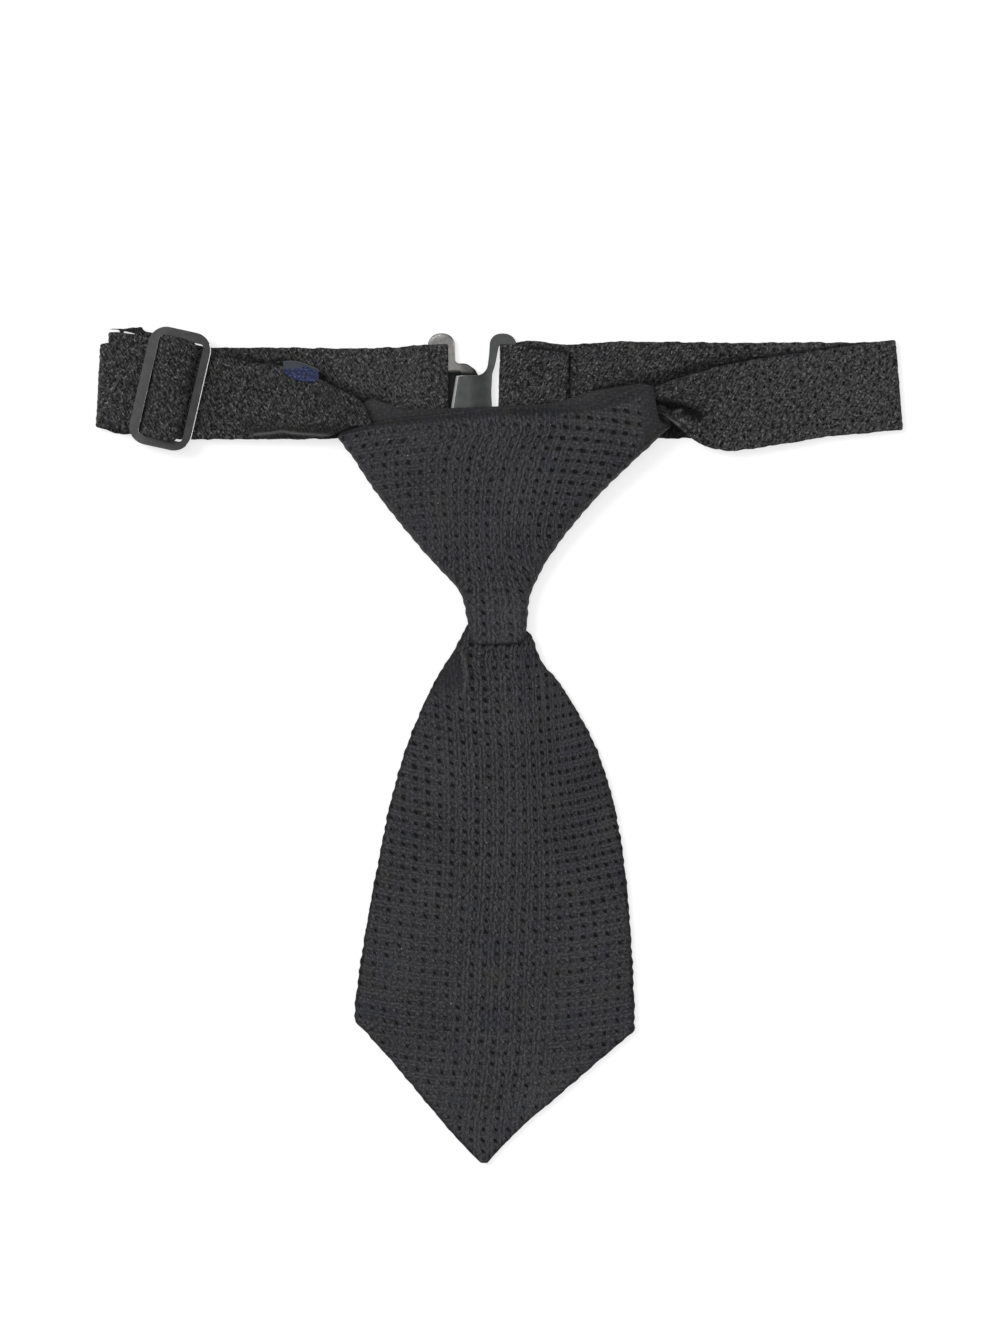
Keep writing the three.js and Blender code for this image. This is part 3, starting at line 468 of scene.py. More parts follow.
@cache
def fibre_effect() -> Effect:
    """Builds the fine unevenness of yarn: small light and dark flecks, lint and slow drifts of tone."""
    effect = Effect("yarn_flecks", Cloth=ORIGIN, Fleck_Size=0.5, Drift_Size=14.0, Stretch=1.0)
    b, given = effect.bench, effect.given
    cloth = given["Cloth"]
    stretched = b.wire("ShaderNodeCombineXYZ", 0, X=1.0, Y=given["Stretch"], Z=1.0)
    slow = 1.0 / given["Drift Size"]
    specks = b.wire("ShaderNodeTexVoronoi", "Distance", {"feature": "F1"}, Vector=cloth, Scale=0.16)
    return effect.give(
        Flecks=b.noise(b.vector("MULTIPLY", cloth, stretched), 1.0 / given["Fleck Size"], 3.0),
        Drift=b.noise(cloth, slow, 3.0),
        Tint=b.noise(b.vector("ADD", cloth, (61.0, 17.0, 5.0)), slow * 2.4, 2.0),
        Lint=b.ramp(specks, 0.012, 0.03, 1.0, 0.0),
    )


@cache
def wear_and_highlight_effect() -> Effect:
    """Builds the look of painted metal: mottled paint, lightened by wear and painted highlights where the
    mesh says so.
    """
    effect = Effect("edge_wear_and_highlight", Place=ORIGIN, Edge=0.0, Mottle_Size=0.002, Lightening=0.5)
    b, given = effect.bench, effect.given
    scale = 1.0 / given["Mottle Size"]
    fine = b.noise(given["Place"], scale * 7.0, 2.0)
    ragged = (fine - 0.5) * 0.7 + given["Edge"]
    bare_and_highlight = b.ramp(ragged, 0.35, 0.8) * given["Lightening"]
    return effect.give(Mottle=b.noise(given["Place"], scale, 4.0), Bare=bare_and_highlight, Scratches=fine)


# Weaves


@dataclass(frozen=True)
class Weave:
    """An open weave with rows of small holes. Lengths are in millimetres."""

    across: float  # spacing of the holes across the cloth
    along: float  # spacing of their rows
    hole_width: float
    hole_length: float
    slant: float  # how far a hole leans for each millimetre along it
    threads: float  # threads between two holes
    wander: float  # how far threads stray from their places
    depth: float = 0.0  # of the dimple round each hole

    def dimples(self, u: Array, v: Array) -> Array:
        """How deep the cloth dips at places on it, in the rows and columns of the material's holes."""
        row = np.round(v / self.along)
        column = u / self.across
        y = v - row * self.along
        x = (column - np.round(column)) * self.across + self.slant * y
        distance = np.hypot(x / (self.hole_width * 1.2), y / (self.hole_length * 1.2))
        return (1.0 - ease(0.5, 1.6, distance)) * self.depth

    def place(self, bench: Bench, cloth: Wire, ribs: Wire | float, opened: Wire) -> dict[str, Wire]:
        """Places the weave in a material, with how much its upright threads show and how open it is."""
        return weave_effect().place(
            bench, Cloth=cloth, Across=self.across, Along=self.along, Slant=self.slant,
            Hole_Width=bench.math("MAXIMUM", opened, 1.0) * self.hole_width, Hole_Length=self.hole_length,
            Threads=self.threads, Wander=self.wander, Ribs=ribs,
        )


@dataclass(frozen=True)
class Crepe:
    """The same cloth crinkled: short crossing strands, small pits and stray rows of holes."""

    strand_width: float
    strand_length: float
    pit: float  # spacing of the pits
    crossing: float  # angle at which the second strands cross the first, in degrees
    lattice: Weave  # the rows of holes
    lattice_turn: float  # their angle to the first strands, in degrees

    def place(self, bench: Bench, cloth: Wire, ribs: Wire, opened: Wire) -> dict[str, Wire]:
        """Places the weave in a material.

        Args:
            bench: The material's bench.
            cloth: Place on the cloth.
            ribs: How much the rows of holes show.
            opened: How open the weave is. Above 1 its holes are wider.

        Returns:
            The Holes, Threads and Ticks.
        """
        crinkled = crepe_effect().place(
            bench, Cloth=cloth, Crossing=bench.turned(cloth, self.crossing), Strand_Width=self.strand_width,
            Strand_Length=self.strand_length, Pit=self.pit, Ribs=0.8,
        )
        rows = self.lattice.place(bench, bench.turned(cloth, self.lattice_turn), 0.5, opened)
        for name in ("Holes", "Ticks"):
            crinkled[name] = bench.math("MAXIMUM", crinkled[name], rows[name] * ribs)
        return crinkled


FACE_WEAVE = Weave(
    across=2.72, along=2.44, hole_width=0.3, hole_length=0.37, slant=-0.35, threads=3.0, wander=0.6,
    depth=0.16,
)
STRAY_ROWS = Weave(
    across=2.4, along=2.2, hole_width=0.26, hole_length=0.33, slant=0.3, threads=3.0, wander=1.3,
)
BIAS_CREPE = Crepe(
    strand_width=0.36, strand_length=1.7, pit=0.72, crossing=64.0, lattice=STRAY_ROWS, lattice_turn=15.0,
)


# Finishes


class Surface:
    """A material in the making."""

    def __init__(self, name: str) -> None:
        """Starts a material with its plain shader."""
        self.material = bpy.data.materials.new(name)
        self.material.use_nodes = True
        self.bench = Bench(self.material.node_tree)

    def done(self, **inputs: object) -> Material:
        """Feeds the shader's inputs, by name with _ for a space, and gives the material."""
        self.bench.fill(self.material.node_tree.nodes["Principled BSDF"], **inputs)
        return self.material


def shaded(colour: Colour, share: float) -> Colour:
    """A colour made darker or lighter."""
    return tuple(share * value for value in colour)


@dataclass(frozen=True)
class ClothFinish:
    """A woven silk finish."""

    name: str
    weave: Weave | Crepe
    dark: Colour  # between the threads
    light: Colour  # on the threads
    olive: Colour  # warm drift of tone
    hole: float  # brightness left inside a hole
    tick: float  # brightness of the ticks, which are painted highlights beside the holes and bright flecks in the crepe, and of the painted highlights on crests
    roughness: float
    relief: float  # height of the threads, in millimetres
    fleck: float  # size of the flecks, in millimetres
    streak: float  # 1 for round flecks, less for flecks drawn out along the upright threads
    blue: Colour = (0.0135, 0.0155, 0.026)  # cool drift of tone
    lint: Colour = (0.35, 0.35, 0.34)
    gloss: float = 0.1
    sheen: float = 0.02
    sheen_spread: float = 0.45
    tinting: float = 0.6  # share of the drifts of tone
    grain_gloss: float = 0.14  # how much smoother the flecks are than the yarn between them

    def material(self) -> Material:
        """Builds the material.

        Returns:
            The material, which reads the mesh's cloth map and layers.
        """
        made = Surface(self.name)
        b = made.bench
        cloth = b.cloth()
        opened = b.layer(Layer.OPEN)
        woven = self.weave.place(b, cloth, b.layer(Layer.RIBS), opened)
        yarn = fibre_effect().place(b, Cloth=cloth, Fleck_Size=self.fleck, Stretch=self.streak)
        holes = woven["Holes"] * opened
        grain = b.ramp(yarn["Flecks"], 0.3, 0.72)
        threads = woven["Threads"] * (b.math("MINIMUM", opened, 1.0) * 0.75 + 0.25)
        share = (yarn["Drift"] - 0.5) * 0.5 + threads * (grain * 1.2 + 0.35)
        tone = b.mix(share, self.dark, self.light)
        cool = b.mix(b.ramp(yarn["Tint"], 0.55, 0.75, 0.0, 0.55), tone, self.blue)
        warm = b.mix(b.ramp(yarn["Tint"], 0.42, 0.25, 0.0, 0.5), cool, self.olive)
        tinted = b.mix(self.tinting, tone, warm)
        bright, deep = (self.tick,) * 3, (self.hole,) * 3
        # Painted highlights: the ticks and the crests that the mesh marks are lit towards the tick
        # brightness; the shade layer darkens as painted shade
        ticked = b.mix(woven["Ticks"] * opened * grain, tinted, bright)
        pierced = b.mix(holes, b.mix(b.layer(Layer.WORN) * 0.8, ticked, bright), deep)
        dimmed = b.mix(b.layer(Layer.SHADE) * 0.5, pierced, BLACK)
        return made.done(
            Base_Color=b.mix(yarn["Lint"] * 0.5, dimmed, self.lint),
            Roughness=grain * -self.grain_gloss + self.roughness,
            Normal=b.bump(grain * 0.4 + threads - holes * 2.2, self.relief),
            Specular_IOR_Level=self.gloss, Sheen_Weight=self.sheen, Sheen_Roughness=self.sheen_spread,
        )


@dataclass(frozen=True)
class MetalFinish:
    """Painted or plated metal."""

    name: str
    colour: Colour
    bare_and_highlight: Colour  # where it is rubbed, and where it has painted highlights
    metallic: float
    gloss: float
    roughness: float
    # how strongly wear and painted highlights lighten the metal
    wear_and_highlight_amount: float
    mottle: float  # size of the mottling, in metres
    # colour where the metal is painted darker, mostly as painted shade
    tarnish: Colour = (0.002, 0.002, 0.002)
    scratch: float = 0.02  # depth of the scratches, in millimetres

    def material(self) -> Material:
        """Builds the material.

        Returns:
            The material, which reads the mesh's layer of wear and painted highlights and its layer of
            painted darkening.
        """
        made = Surface(self.name)
        b = made.bench
        rubbed = wear_and_highlight_effect().place(
            b, Place=b.spot(), Edge=b.layer(Layer.WORN), Mottle_Size=self.mottle, Lightening=self.wear_and_highlight_amount
        )
        mottle = b.ramp(rubbed["Mottle"], 0.3, 0.7)
        paint = b.mix(mottle, shaded(self.colour, 0.7), shaded(self.colour, 1.28))
        black = b.layer(Layer.TARNISH)
        rough = rubbed["Mottle"] * 0.14 + (self.roughness - 0.07) - rubbed["Bare"] * 0.12
        # Painted highlights and wear lighten the paint; painted shade darkens it
        return made.done(
            Base_Color=b.mix(black, b.mix(rubbed["Bare"], paint, self.bare_and_highlight), self.tarnish),
            Roughness=black * 0.4 + rough,
            Normal=b.bump(rubbed["Scratches"], self.scratch, 0.5),
            Metallic=self.metallic, Specular_IOR_Level=self.gloss,
        )


@dataclass(frozen=True)
class TapeFinish:
    """Narrow woven tape with a twill that slants across it."""

    name: str
    blue: Colour
    fleck: Colour
    lit_fold: Colour  # painted light on the folded upper side
    twill: float  # width of the twill's ridges, in millimetres
    lean: float = 52.0  # of the ridges, in degrees
    relief: float = 0.05
    roughness: float = 0.75
    gloss: float = 0.25
    sheen: float = 0.07

    def material(self) -> Material:
        """Builds the material.

        Returns:
            The material, which reads the mesh's cloth map and layers.
        """
        made = Surface(self.name)
        b = made.bench
        cloth = b.cloth()
        drawn = b.vector("MULTIPLY", b.turned(cloth, self.lean), (1.0 / self.twill, 0.5 / self.twill, 1.0))
        ridge = b.noise(drawn, 1.0, 1.0)
        grain = b.ramp(fibre_effect().place(b, Cloth=cloth, Fleck_Size=0.3)["Flecks"], 0.4, 0.62, 0.2, 1.0)
        tone = b.mix(b.ramp(ridge, 0.5, 0.62) * grain, self.blue, self.fleck)
        # The label's fold is painted paler, as painted light, where the open-weave layer says so
        return made.done(
            Base_Color=b.mix(b.layer(Layer.OPEN), tone, self.lit_fold), Normal=b.bump(ridge, self.relief),
            Roughness=self.roughness, Specular_IOR_Level=self.gloss, Sheen_Weight=self.sheen,
        )


@dataclass(frozen=True)
class ThreadFinish:
    """Plain sewing thread, with its twist as a fine grain."""

    name: str
    colour: Colour
    twist: float  # length of one twist, in metres
    relief: float = 0.05
    roughness: float = 0.6
    gloss: float = 0.3

    def material(self) -> Material:
        """Builds the material."""
        made = Surface(self.name)
        b = made.bench
        grain = b.noise(b.spot(), 1.0 / self.twist, 2.0)
        tone = b.mix(b.ramp(grain, 0.35, 0.65), self.colour, shaded(self.colour, 2.2))
        return made.done(
            Base_Color=tone, Normal=b.bump(grain, self.relief), Roughness=self.roughness,
            Specular_IOR_Level=self.gloss,
        )


FACE_SILK = ClothFinish(
    name="face_silk", weave=FACE_WEAVE, dark=(0.006, 0.006, 0.0068), light=(0.0408, 0.0408, 0.0445),
    olive=(0.024, 0.0235, 0.015), hole=0.0015, tick=0.078, roughness=0.7, relief=0.18, fleck=0.36,
    streak=0.85,
)
BAND_SILK = ClothFinish(
    name="band_silk", weave=BIAS_CREPE, dark=(0.0055, 0.0055, 0.0055), light=(0.048, 0.048, 0.0486),
    olive=(0.028, 0.027, 0.016), hole=0.001, tick=0.13, roughness=0.74, relief=0.27, fleck=0.34,
    streak=0.5,
)
SLIDER_PAINT = MetalFinish(
    name="slider_paint", colour=(0.026, 0.026, 0.026), bare_and_highlight=(0.8, 0.8, 0.79), metallic=0.0, gloss=0.3,
    roughness=0.6, wear_and_highlight_amount=0.9, mottle=0.0022,
)
GUNMETAL = MetalFinish(
    name="gunmetal", colour=(0.0183, 0.0197, 0.0196), bare_and_highlight=(0.42, 0.42, 0.42), metallic=0.3, gloss=0.3,
    roughness=0.44, wear_and_highlight_amount=0.8, mottle=0.0016,
)
DULL_NICKEL = MetalFinish(
    name="dull_nickel", colour=(0.07, 0.068, 0.066), bare_and_highlight=(0.36, 0.35, 0.34), metallic=0.5, gloss=0.4,
    roughness=0.38, wear_and_highlight_amount=0.8, mottle=0.0014,
)
LABEL_TAPE = TapeFinish(
    name="label_tape", blue=(0.0015, 0.0045, 0.027), fleck=(0.038, 0.052, 0.125),
    lit_fold=(0.019, 0.0245, 0.031), twill=0.34,
)
BLACK_THREAD = ThreadFinish(name="black_thread", colour=(0.006, 0.006, 0.007), twist=0.0004)


# Meshes


@dataclass
class Skin:
    """Places and layers of a grid's points. All lengths are in millimetres."""

    x: Array
    y: Array
    z: Array
    u: Array  # place across the cloth
    v: Array  # place along it
    layers: dict[Layer, Array]


def skin_grid(
    name: str, columns: int, rows: int, shape: Callable[[Array, Array], Skin], finish: Material
) -> Piece:
    """Lays a grid over a shape, welds its meeting edges and closes what is left open.

    Args:
        name: The piece's name.
        columns: Faces across the grid.
        rows: Faces along the grid.
        shape: Gives the places of the points from their column and row numbers.
        finish: The piece's material.

    Returns:
        The piece, in metres, with its cloth map and layers.
    """
    grid = bmesh.new()
    bmesh.ops.create_grid(grid, x_segments=columns, y_segments=rows, size=0.5)
    mesh = mesh_of(grid, name)
    flat = np.empty(len(mesh.vertices) * 3)
    mesh.vertices.foreach_get("co", flat)
    flat = flat.reshape(-1, 3)
    skin = shape(np.rint((flat[:, 0] + 0.5) * columns), np.rint((flat[:, 1] + 0.5) * rows))
    mesh.vertices.foreach_set("co", (np.column_stack([skin.x, skin.y, skin.z]) * MM).ravel())
    corner = np.empty(len(mesh.loops), int)
    mesh.loops.foreach_get("vertex_index", corner)
    cloth = np.column_stack([skin.u, skin.v])[corner]
    mesh.uv_layers.new(name=Layer.CLOTH.value).data.foreach_set("uv", cloth.ravel())
    for layer, values in skin.layers.items():
        spot = mesh.attributes.new(layer.value, "FLOAT", "POINT")
        spot.data.foreach_set("value", values.astype(np.float32))
    close_mesh(mesh)
    return finished(name, mesh, finish)


def put(name: str, data: bpy.types.ID) -> Piece:
    """Makes an object of a mesh, lamp or camera and links it."""
    made = bpy.data.objects.new(name, data)
    bpy.context.scene.collection.objects.link(made)
    return made


def mesh_of(work: Work, name: str) -> bpy.types.Mesh:
    """Turns a shape into a mesh.

    Args:
        work: The shape, which is freed.
        name: The mesh's name.

    Returns:
        The mesh.
    """
    mesh = bpy.data.meshes.new(name)
    work.to_mesh(mesh)
    work.free()
    return mesh


def close_mesh(mesh: bpy.types.Mesh) -> None:
    """Welds the points that meet, fills what is open and turns the faces outwards."""
    work = bmesh.new()
    work.from_mesh(mesh)
    bmesh.ops.remove_doubles(work, verts=work.verts, dist=0.002 * MM)
    bmesh.ops.dissolve_degenerate(work, dist=0.001 * MM, edges=work.edges)
    rim = [edge for edge in work.edges if edge.is_boundary]
    if rim:
        bmesh.ops.holes_fill(work, edges=rim, sides=0)
    bmesh.ops.recalc_face_normals(work, faces=work.faces)
    work.to_mesh(mesh)
    work.free()


def finished(name: str, mesh: bpy.types.Mesh, finish: Material) -> Piece:
    """Links a smooth-shaded piece that rides on the tie, in its finish."""
    mesh.materials.append(finish)
    mesh.polygons.foreach_set("use_smooth", np.ones(len(mesh.polygons), bool))
    piece = put(name, mesh)
    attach(piece, BODY)
    log.info("%s: %d faces", name, len(mesh.polygons))
    return piece


def spread(places: list[tuple[float, int]]) -> Array:
    """Runs through places in even steps.

    Args:
        places: Each place with the number of steps that lead to it.

    Returns:
        All the places on the way.
    """
    out = [np.array([places[0][0]])]
    for (start, _), (end, steps) in zip(places, places[1:]):
        out.append(np.linspace(start, end, steps + 1)[1:])
    return np.concatenate(out)


def row_places(lengths: Array, step: float) -> Array:
    """Places of a grid's rows about a step apart, counted in rows of a table with these lengths between."""
    steps = np.maximum(1, np.rint(lengths / step)).astype(int)
    return spread([(0.0, 0), *[(i + 1.0, int(count)) for i, count in enumerate(steps)]])


def edge_scallops(v: Array, seed: int) -> Array:
    """How far a folded edge bulges between the rows of holes, in millimetres."""
    row = 2.0 * math.pi * v / FACE_WEAVE.along
    return 0.09 * np.cos(row) + ripples(v, 0.0 * v, (0.08, seed, 1.7), (0.06, seed + 1, 5))


# The blade


class Side(Enum):
    """Stretches of the section of a folded cloth, in the order in which a ring of points passes them."""

    FLAP_LEFT = 0
    FOLD_LEFT = 1
    FACE = 2
    FOLD_RIGHT = 3
    FLAP_RIGHT = 4
    HEM_RIGHT = 5
    INNER_FLAP_RIGHT = 6
    INNER_FOLD_RIGHT = 7
    INNER_FACE = 8
    INNER_FOLD_LEFT = 9
    INNER_FLAP_LEFT = 10
    HEM_LEFT = 11


@dataclass
class Blade:
    """The hanging part: one cloth, folded behind to two flaps that meet at the centre back."""

    node: str = "blade"
    cloth: float = 0.95  # thickness of the folded cloth
    edge: float = 2.1  # how far in the folded edge takes to reach the full thickness
    seam_x: float = -0.6
    seam_gap: float = 0.18
    row_step: float = 0.37
    bow_top: float = 0.0076  # curve of the weave's rows at the neck, per millimetre
    bow_low: float = 0.0034
    gather: float = 0.42  # how much closer the weave's columns stand at the upper right
    steps: tuple[int, ...] = (18, 10, 150, 10, 18, 2, 5, 3, 12, 3, 5, 2)  # faces in each stretch
    outline: Table = table("left_x left_y right_x right_y sag back front", [
        (-3.9, 32, 3.7, 32, 0, 1.35, 4.5), (-4, 28, 3.7, 28, 0, 1.35, 4.5),
        (-5.6, 27.3, 4.7, 26.6, 1.1, 0.9, 4.4), (-7.2, 26.6, 6.1, 25.3, 2, 0.3, 4.3),
        (-8.5, 23.9, 7.2, 24, 1.1, 0.2, 4.3), (-10.4, 20.6, 8.4, 20.8, 0.4, 0.1, 4.4),
        (-12.15, 17.8, 9.85, 17.7, 0.1, 0.1, 4.3), (-13.75, 15.2, 12.4, 14.9, 0, 0, 4.1),
        (-17.4, 7.8, 16.6, 8.6, 0, 0, 3.8), (-21.05, -1.6, 21.4, -0.6, 0, 0, 3.5),
        (-24.5, -13.9, 25.45, -13.2, 0, 0, 3.3), (-27.15, -27.1, 27.8, -27, 0, 0, 3.2),
        (-30.05, -43, 29.25, -43.5, 0, 0, 3.15), (-32.05, -57.5, 30, -59.4, 0, 0, 3.1),
        (-32.2, -61, 29.95, -63.4, 0, 0, 3.05), (-30.35, -63.1, 27.85, -65.2, 0, 0, 3.05),
        (-24.8, -69.3, 21.6, -70.6, 0, 0, 3), (-18.15, -77.2, 13.25, -77.8, 0, 0, 2.9),
        (-11.6, -85, 4.6, -85.2, 0, 0, 2.75), (-5.9, -91.2, -1.25, -91.2, 0, 0, 2.5),
        (-4.2, -92.8, -2.6, -92.8, 0, 0.2, 2.2),
    ])
    # Long soft ridges below the knot, where the cloth is drawn in: place, half width and height
    ridges: Table = table("fall left right height", [
        (-25, -8.9, 7, 0), (-22.8, -8.7, 7.4, 0.7), (-20.6, -8.4, 8.3, 0.8), (-18.4, -7.6, 9, 0.8),
        (-15.2, -7.3, 9.2, 0.75), (-12.8, -7.6, 9.5, 0.6), (-8, -9, 10.2, 0.3), (0, -11, 12, 0),
    ])

    def build(self, finish: Material) -> None:
        """Builds the blade and puts it in place of its node.

        Args:
            finish: Its silk.
        """
        fall = -0.5 * (self.outline.columns["left_y"] + self.outline.columns["right_y"])
        self._rows = row_places(np.diff(fall), self.row_step)
        self._kind = np.append(np.repeat([side.value for side in Side], self.steps), Side.HEM_LEFT.value)
        self._share = np.concatenate([*[np.arange(steps) / steps for steps in self.steps], [1.0]])
        piece = skin_grid("blade_cloth", len(self._kind) - 1, len(self._rows) - 1, self._shape, finish)
        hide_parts(self.node)

    def _shape(self, column: Array, row: Array) -> Skin:
        """Shapes the blade.

        Args:
            column: Column number of each point, round the section.
            row: Row number of each point, from the neck to the tip.

        Returns:
            The points.
        """
        place = self._rows[row.astype(int)]
        kind = self._kind[column.astype(int)]
        share = self._share[column.astype(int)]
        ends = {name: self.outline.by_row(name, place) for name in self.outline.columns}
        half = 0.5 * np.hypot(ends["right_x"] - ends["left_x"], ends["right_y"] - ends["left_y"])
        edge = np.minimum(self.edge, 0.75 * half)
        flat = half - edge
        back, front = ends["back"], ends["front"]
        rise = 0.5 * (front - back)
        middle = 0.5 * (front + back)
        wall = np.minimum(self.cloth, 0.42 * np.minimum(rise * 2.0, edge * 2.0))
        seam = np.clip(self.seam_x, -0.4 * half, 0.4 * half)
        gap = np.minimum(self.seam_gap, 0.1 * half)

        angle = (share - 0.5) * math.pi
        arc = 0.5 * math.pi * np.sqrt(0.5 * (edge**2 + rise**2))
        left_reach = -(flat + 2.0 * arc)
        right_reach = flat + 2.0 * arc
        inner = np.maximum(edge - wall, 0.1)
        across = flat * (2.0 * share - 1.0)
        to_left = (seam - gap) * (1.0 - share) - flat * share
        to_seam = flat * (1.0 - share) + (seam + gap) * share
        from_seam = (seam + gap) * (1.0 - share) + flat * share
        back_to_seam = -flat * (1.0 - share) + (seam - gap) * share
        swing, lift = np.cos(angle), np.sin(angle)
        # In the order of Side: the places across, their heights, and their places on the cloth
        stretches = [
            (to_left, back, left_reach - (flat + to_left)),
            (-flat - edge * swing, middle + rise * lift, left_reach + 2.0 * arc * share),
            (across, front, across),
            (flat + edge * swing, middle - rise * lift, flat + 2.0 * arc * share),
            (to_seam, back, right_reach + (flat - to_seam)),
            (seam + gap, back + wall * share, right_reach + flat),
            (from_seam, back + wall, right_reach + flat),
            (flat + inner * swing, middle + (rise - wall) * lift, flat),
            (-across, front - wall, -across),
            (-flat - inner * swing, middle - (rise - wall) * lift, -flat),
            (back_to_seam, back + wall, left_reach - flat),
            (seam - gap, back + wall * (1.0 - share), left_reach - flat),
        ]
        a, z, u = (np.choose(kind, parts) for parts in zip(*stretches))

        spot = (a / half + 1.0) * 0.5
        x = ends["left_x"] + (ends["right_x"] - ends["left_x"]) * spot
        y = ends["left_y"] + (ends["right_y"] - ends["left_y"]) * spot
        y = y - ends["sag"] * (1.0 - unit(np.abs(a) / half) ** 7)
        upper = np.isin(kind, [Side.FACE.value, Side.INNER_FACE.value])
        outside = kind <= Side.FLAP_RIGHT.value
        on_face = kind == Side.FACE.value

        pull = self.gather * ease(-45, 5, y)
        u = u * (1.0 + pull * np.clip((x - 2.0) / 16.0, 0.0, 1.3))
        bow = self.bow_low + (self.bow_top - self.bow_low) * ease(-50, 10, y)
        v = bow * x * x - y
        facing = ease(middle - 0.2 * rise, middle + 0.8 * rise, z)
        z = z + facing * self._unevenness(x, y, upper)
        relief = FACE_WEAVE.dimples(u, v) * outside
        crown = 0.25 * unit(np.abs(a) / half) ** 5 * on_face
        z = z - np.where(facing > 0.5, relief + crown, -relief * ~on_face)
        side_push = relief * np.isin(kind, [Side.FOLD_LEFT.value, Side.FOLD_RIGHT.value]) * np.cos(angle)
        x = x - np.sign(a) * side_push
        rim = ease(half - 0.75, half - 0.2, np.abs(a)) * outside
        x = x + np.sign(a) * rim * edge_scallops(v, 31) * np.minimum(1.0, 0.1 * half)
        z = np.maximum(z, 0.0)
        left_ridge = self._ridges(y)[0]
        smooth_corner = ease(left_ridge, left_ridge - 1.6, x) * ease(9, 14, y)
        # Painted shade along the folded rims and over the inside; painted highlights along the ridges'
        # crests
        return Skin(x, y, z, u, v, {
            Layer.OPEN: outside * (1.0 - 0.85 * smooth_corner) * (1.0 + self._drawn_open(x, y)),
            Layer.RIBS: 1.0 - 0.62 * ease(5, 17, np.abs(x) - 0.05 * (y + 30)),
            Layer.SHADE: np.where(outside, 1.6 * rim, 1.0),
            Layer.WORN: self._crest_highlight(x, y) * on_face,
        })

    def _ridges(self, y: Array) -> list[Array]:
        """Places of the left and the right ridge, and their height."""
        return [self.ridges.smooth("fall", name, -y) for name in ("left", "right", "height")]

    def _crest_highlight(self, x: Array, y: Array) -> Array:
        """Painted highlight along the tops of the ridges; the cloth is also a little paler towards the tip.
        """
        left, right, height = self._ridges(y)
        return 0.42 * height * (hump(x, left, 0.5) + hump(x, right, 0.42)) + 0.075 * ease(-60, -84, y)

    def _drawn_open(self, x: Array, y: Array) -> Array:
        """How much wider the holes stand on the shoulders, most on the right one."""
        right = 0.6 * ease(4, 12, x) * ease(-60, -15, y)
        left = 0.35 * ease(-6, -14, x) * ease(-55, -10, y)
        columns = 0.45 * hump(x, -4.6, 2.4) * ease(-45, -5, y)
        return right + left + columns

    def _unevenness(self, x: Array, y: Array, upper: Array) -> Array:
        """Height that the ridges below the knot and the cloth's own waves add to the face."""
        left, right, height = self._ridges(y)
        ridge = height * (hump(x, left, 0.8) + 0.9 * hump(x, right, 0.7))
        valley = -0.5 * height * (hump(x, left + 2.2, 1.3) + hump(x, right - 2, 1.2))
        waves = ripples(x, y, (0.09, 3, 26), (0.05, 4, 9))
        bumpy = 0.12 * hump(np.hypot(x - 2, y + 86), 0, 7) * Ripple(5, 3.4).at(x, y)
        return np.where(upper, ridge + valley + waves + bumpy, 0.5 * (ridge + waves))


# The knot


